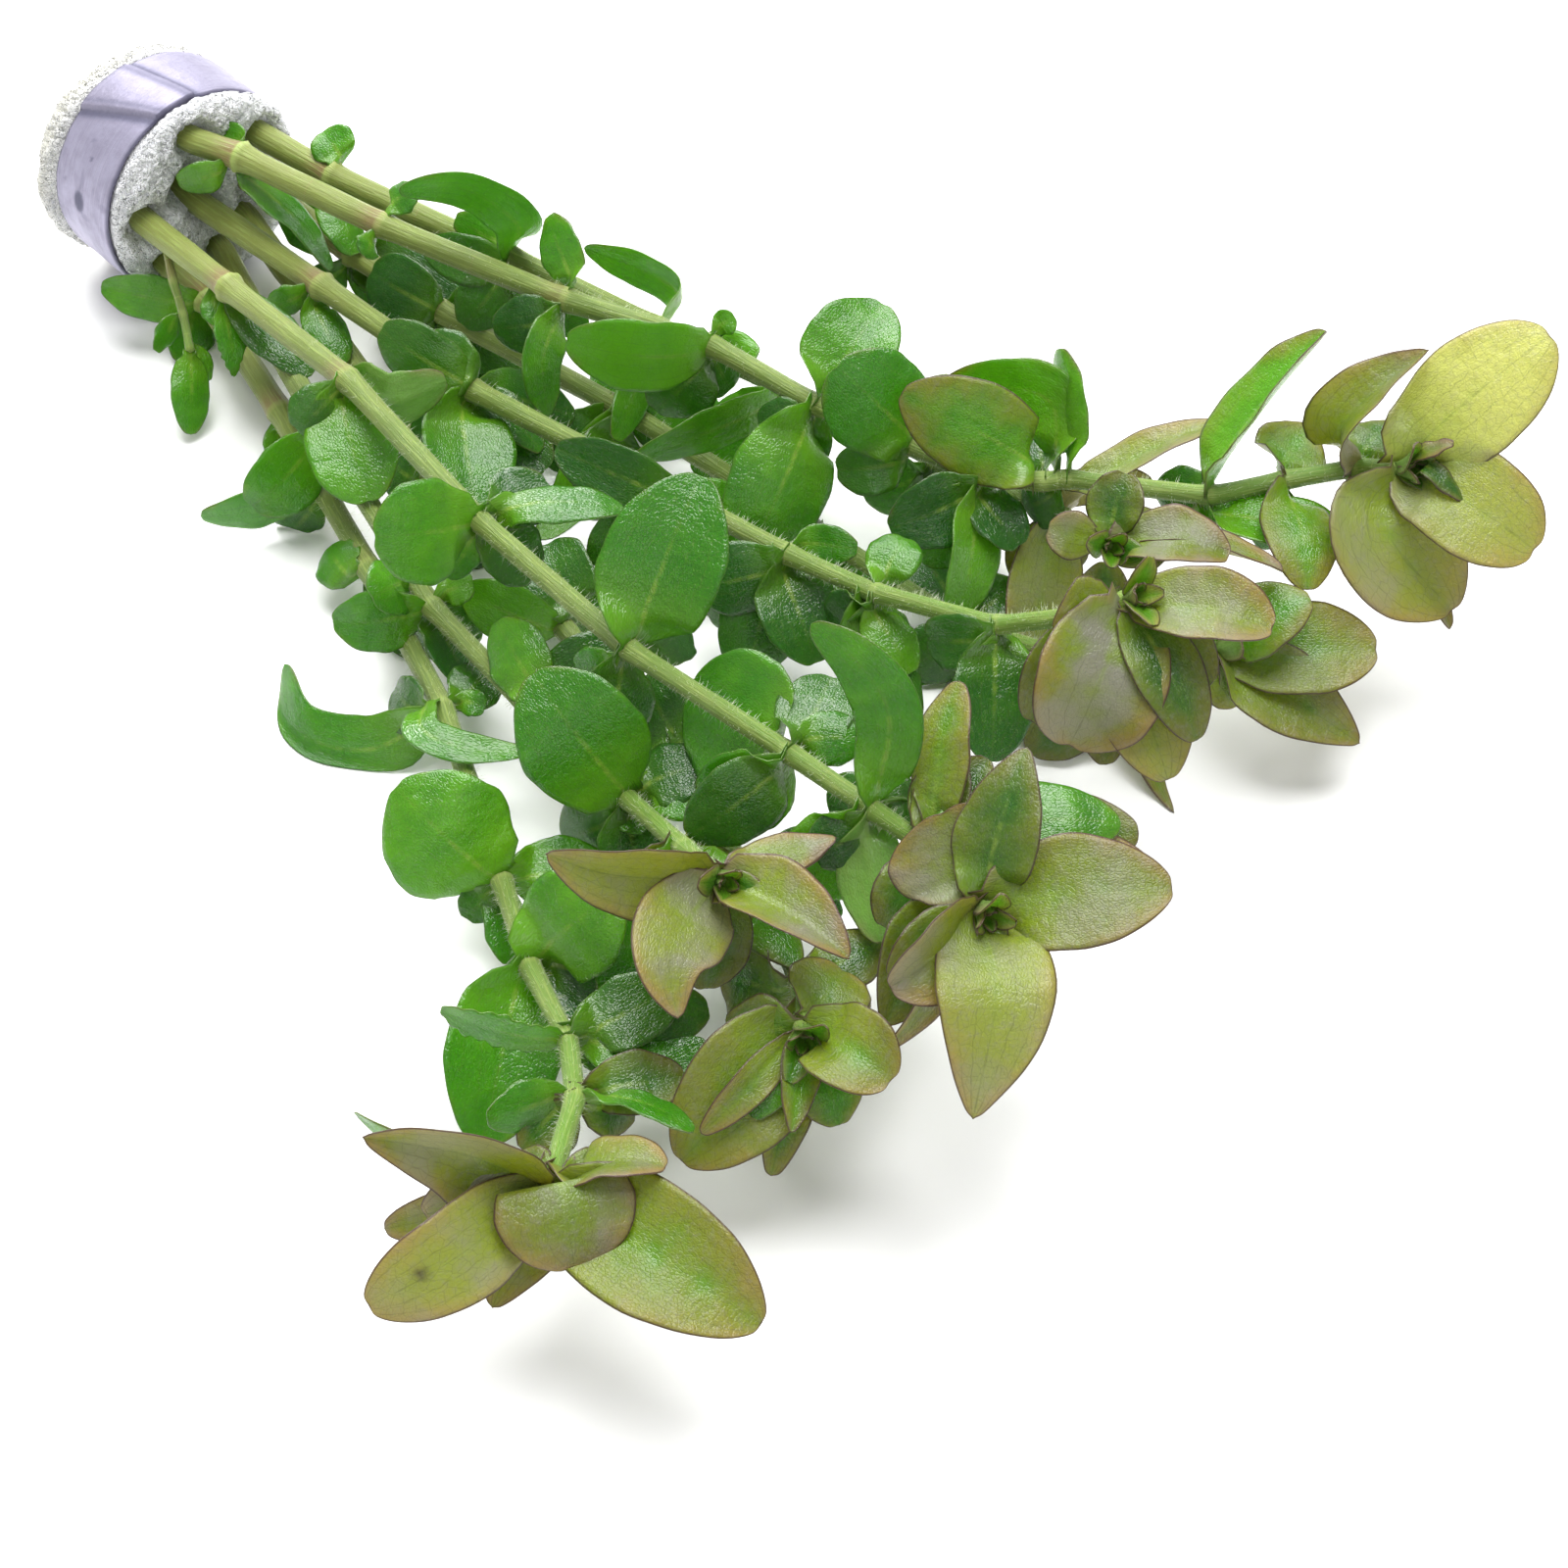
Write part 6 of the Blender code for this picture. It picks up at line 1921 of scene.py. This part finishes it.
@dataclass
class FoamWrap:
    """The foam roll: its bulging face with a dip round each stem, and its rough far end."""

    rounds: int = 220
    profile: tuple[tuple[float, float], ...] = (
        (-9.0, 0.0), (-9.1, 6.0), (-9.1, 10.2), (-8.8, 12.2), (-8.0, 13.3), (-6.6, 13.6), (-5.5, 13.2), (-4.9, 12.8),
        (0.0, 12.8), (4.9, 12.85), (5.6, 13.1), (6.5, 12.75), (7.2, 11.6), (7.6, 9.8), (7.7, 7.0), (7.6, 3.5),
        (7.5, 0.0),
    )
    holes: tuple[tuple[float, float], ...] = ()
    rings: int = 118
    face_from: float = 4.9
    end_from: float = -5.1
    stem_dip: float = 1.9
    hollow_dip: float = 5.5
    floor_gap: float = 0.55

    def rows(self) -> Vec:
        """Draw the profile with even fine steps where the foam shows.

        Returns:
            Rows of place along the axis and radius.
        """
        curve = np.array(spline([np.array(point) for point in self.profile], 8))
        weight = np.where(np.abs(curve[:, 0]) < 4.5, 0.25, 1.0)
        spent = np.concatenate([[0.0], np.cumsum(np.diff(reach_of(curve)) * weight[1:])])
        even = np.linspace(0, spent[-1], self.rings)
        return read_off(curve, spent, even)

    def build(self, finish: bpy.types.Material) -> bpy.types.Object:
        """Make the foam.

        Args:
            finish: The foam's material.

        Returns:
            The object.
        """
        rows = self.rows()
        turn = np.linspace(0, 2 * math.pi, self.rounds, endpoint=False)
        x = np.repeat(rows[:, 0], self.rounds)
        radius = np.maximum(0.02, np.repeat(rows[:, 1], self.rounds))
        turns = np.tile(turn, len(rows))
        slope = headings(rows)
        out_x, out_radius = np.repeat(-slope[:, 1], self.rounds), np.repeat(slope[:, 0], self.rounds)
        y, z = radius * np.sin(turns), radius * np.cos(turns)
        places = np.stack([x, y, z], axis=-1)
        on_face = ease((x - self.face_from) / 1.2)
        on_end = ease((self.end_from - x) / 1.2)
        bulge = on_face * (0.55 * ease(z / 12) + 0.5 * ease(y / 12))
        bulge = bulge + on_end * (0.15 + 0.7 * ease(-y / 12) - 0.4 * ease(z / 12))
        lumps = ripple(places, 0.09, 31) * 0.35 + ripple(places, 0.6, 32) * 0.22
        pits = np.array([self.pit(place) for place in places])
        push = (on_face + on_end) * (bulge + lumps - pits * 0.35)
        x = x + out_x * push
        y = y + out_radius * push * np.sin(turns)
        z = z + out_radius * push * np.cos(turns)
        # hollow_shade and pore_shade are painted shade for the finish: dark in the dips round the stems, in the
        # hollow and in the open cells
        hollow_shade = np.zeros(len(x))
        for hole_y, hole_z in self.holes:
            away = np.hypot(y - hole_y, z + SIZES.band_centre - hole_z) - SIZES.stem_cut
            dip = on_face * np.exp(-(np.maximum(0, away) / 1.1) ** 2)
            x = x - dip * self.stem_dip
            hollow_shade = np.maximum(hollow_shade, dip * 0.75)
        away = np.hypot(y - SIZES.hollow_centre[0], z + SIZES.band_centre - SIZES.hollow_centre[1])
        dip = on_face * ease((SIZES.hollow_radius * 1.55 - away) / 1.8)
        x = x - dip * self.hollow_dip
        hollow_shade = np.maximum(hollow_shade, dip)
        pore_shade = (on_face + on_end) * np.clip(pits, 0, 1)
        points = np.stack([x, y, np.maximum(z + SIZES.band_centre, self.floor_gap)], axis=-1)
        work = MeshWork()
        faces = grid_faces(len(rows), self.rounds, closed=True, flip=True)
        work.add(points, faces, foam_place=points, foam_depth=np.stack([x * 0, hollow_shade, pore_shade], axis=-1))
        return work.build("foam_roll", finish)

    @staticmethod
    def pit(place: Vec) -> float:
        """Find how deep an open cell is at a place."""
        distance = noise.voronoi((place * 1.6).tolist())[0]
        return float(ease(np.array((distance[1] - distance[0]) / 0.5)))


@dataclass
class Studio:
    """The white surface and the plain soft light.

    Each of lamps is how far behind the middle it is, its height, its power, its width and how far to the right it is.
    """

    floor_side: float = 6.0
    world_light: float = 0.52
    middle: tuple[float, float, float] = (0.08, 0.0, 0.0)
    lamps: dict[str, tuple[float, float, float, float, float]] = field(default_factory=lambda: {
        "overhead": (0.22, 0.9, 13.0, 0.75, 0.05),
        "behind": (0.62, 0.45, 5.0, 0.4, -0.2),
        "front": (-0.6, 0.5, 0.6, 0.4, 0.05),
    })

    def build(self, finish: bpy.types.Material) -> None:
        """Make the floor, the sky light and the lamps.

        Args:
            finish: The floor's material.
        """
        bpy.context.scene.view_settings.view_transform = "Standard"
        half = self.floor_side / 2
        mesh = bpy.data.meshes.new("floor")
        mesh.from_pydata([(-half, -half, 0), (half, -half, 0), (half, half, 0), (-half, half, 0)], [], [(0, 1, 2, 3)])
        mesh.materials.append(finish)
        floor = bpy.data.objects.new("floor", mesh)
        floor.location.z = -0.0001
        link(floor)
        world = bpy.data.worlds.new("soft_room")
        world.use_nodes = True
        world.node_tree.nodes["Background"].inputs["Color"].default_value = (1.0, 1.0, 1.0, 1.0)
        world.node_tree.nodes["Background"].inputs["Strength"].default_value = self.world_light
        bpy.context.scene.world = world
        for name, (back, height, power, side, aside) in self.lamps.items():
            self.lamp(name, VIEW.away * back + VIEW.right * aside + np.array([0, 0, height]), side, power)

    def lamp(self, name: str, offset: Vec, side: float, power: float) -> None:
        """Make a soft lamp that faces the bunch.

        Args:
            name: Its name.
            offset: Its place from the bunch's middle, in metres.
            side: How wide it is in metres.
            power: Its power in watts.
        """
        data = bpy.data.lights.new(name, "AREA")
        data.shape = "DISK"
        data.size = side
        data.energy = power
        lamp = bpy.data.objects.new(name, data)
        back = unit(offset)
        across = unit(np.cross([0.1, 0.9, 0.2], back))
        lamp.matrix_world = looking(np.array(self.middle) + offset, across, np.cross(back, across), back)
        link(lamp)


@dataclass
class Bunch:
    """The whole bunch: band, foam, stems, leaves and hairs."""

    stems: tuple[StemPlan, ...]
    blade: BladeForm = BladeForm()
    buds: tuple[tuple[float, float], ...] = ((5.2, 1.05), (3.8, 0.62), (2.6, 0.3))

    def build(self, frame: dict) -> None:
        """Build and dress every piece, each standing for its own solid.

        Args:
            frame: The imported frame.
        """
        slots = {row["node"]: row["material_slot"] for row in frame["record"]["subparts"]}
        leaf_skin, stem_skin = LeafFinish().material(), StemFinish().material()
        hair_skin = HairFinish().material()
        self.show(LeadBand().build(LeadFinish().material()), "lead", "lead_band")
        holes = tuple(stem.hole for stem in self.stems if stem.hole)
        self.show(FoamWrap(holes=holes).build(FoamFinish().material()), "foam", "foam_wrap")
        placed = Foliage(self.stems).settle()
        small = {stem.name: MeshWork() for stem in self.stems}
        far = 0.0
        for leaf in placed:
            if leaf.node is not None:
                far = max(far, self.off_node(leaf.pose, leaf.node))
            leaf.pose.set_frames(0.15)
            if leaf.node is None:
                self.blade.add_to(small[leaf.stem], leaf.pose, leaf.number)
                continue
            work = MeshWork()
            self.blade.add_to(work, leaf.pose, leaf.number)
            item = work.build(leaf.node.replace("leaf", "blade"), leaf_skin)
            self.show(item, slots[leaf.node], leaf.node)
        log.info("leaves: %d placed, own solids met within %.3f mm", len(placed), far)
        for stem in self.stems[:-1]:
            ages = sorted(leaf.age for leaf in stem.leaves if leaf.joint == len(stem.seen))
            for number, (length, lean) in enumerate(self.buds):
                for turn in (0.0, math.pi):
                    pose = YoungPose(stem, turn + number * 1.57 + float(stem.name), lean, length, ages[-1] * 0.45)
                    self.blade.add_to(small[stem.name], pose, number + 7 * int(stem.name))
        shoot = LeafyStem(self.stems[-1])
        for stem in self.stems[:-1]:
            leafy = LeafyStem(stem)
            work = MeshWork()
            leafy.add_skin(work)
            if stem.name == "4":
                shoot.add_skin(work)
            self.show(work.build(f"stem_{stem.name}_skin", stem_skin), "stem", f"stem_{stem.name}")
            hairs = MeshWork()
            leafy.add_hairs(hairs)
            self.show(hairs.build(f"stem_{stem.name}_hairs", hair_skin), "stem")
        for name, work in small.items():
            if work.count:
                self.show(work.build(f"stem_{name}_small_leaves", leaf_skin), "leaf_green")

    @staticmethod
    def show(item: bpy.types.Object, slot: str, *nodes: str) -> None:
        """Let a piece ride with the bunch and stand for its solids.

        Args:
            item: The piece.
            slot: The record's material slot; not used.
            nodes: The solids that it stands for.
        """
        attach(item, "root")
        if nodes:
            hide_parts(*nodes)
        log.info("%s: %d faces", item.name, len(item.data.polygons))

    @staticmethod
    def off_node(pose: LeafPose, node: str) -> float:
        """Measure how far a leaf's pose is from its own solid.

        Args:
            pose: The leaf's pose.
            node: Its solid's name.

        Returns:
            The largest difference between their boxes in millimetres.
        """
        corners, _ = pose.solid(Foliage.own_stations)
        low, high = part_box(node)
        off_low = np.abs(corners.min(axis=0) - np.array(low) / MM).max()
        off_high = np.abs(corners.max(axis=0) - np.array(high) / MM).max()
        return float(max(off_low, off_high))


def main() -> None:
    """Build the view, the studio and the bunch, and note the sizes."""
    VIEW.build_camera()
    Studio().build(FloorFinish().material())
    Bunch(STEMS).build(frame)


if __name__ == "__main__":
    main()
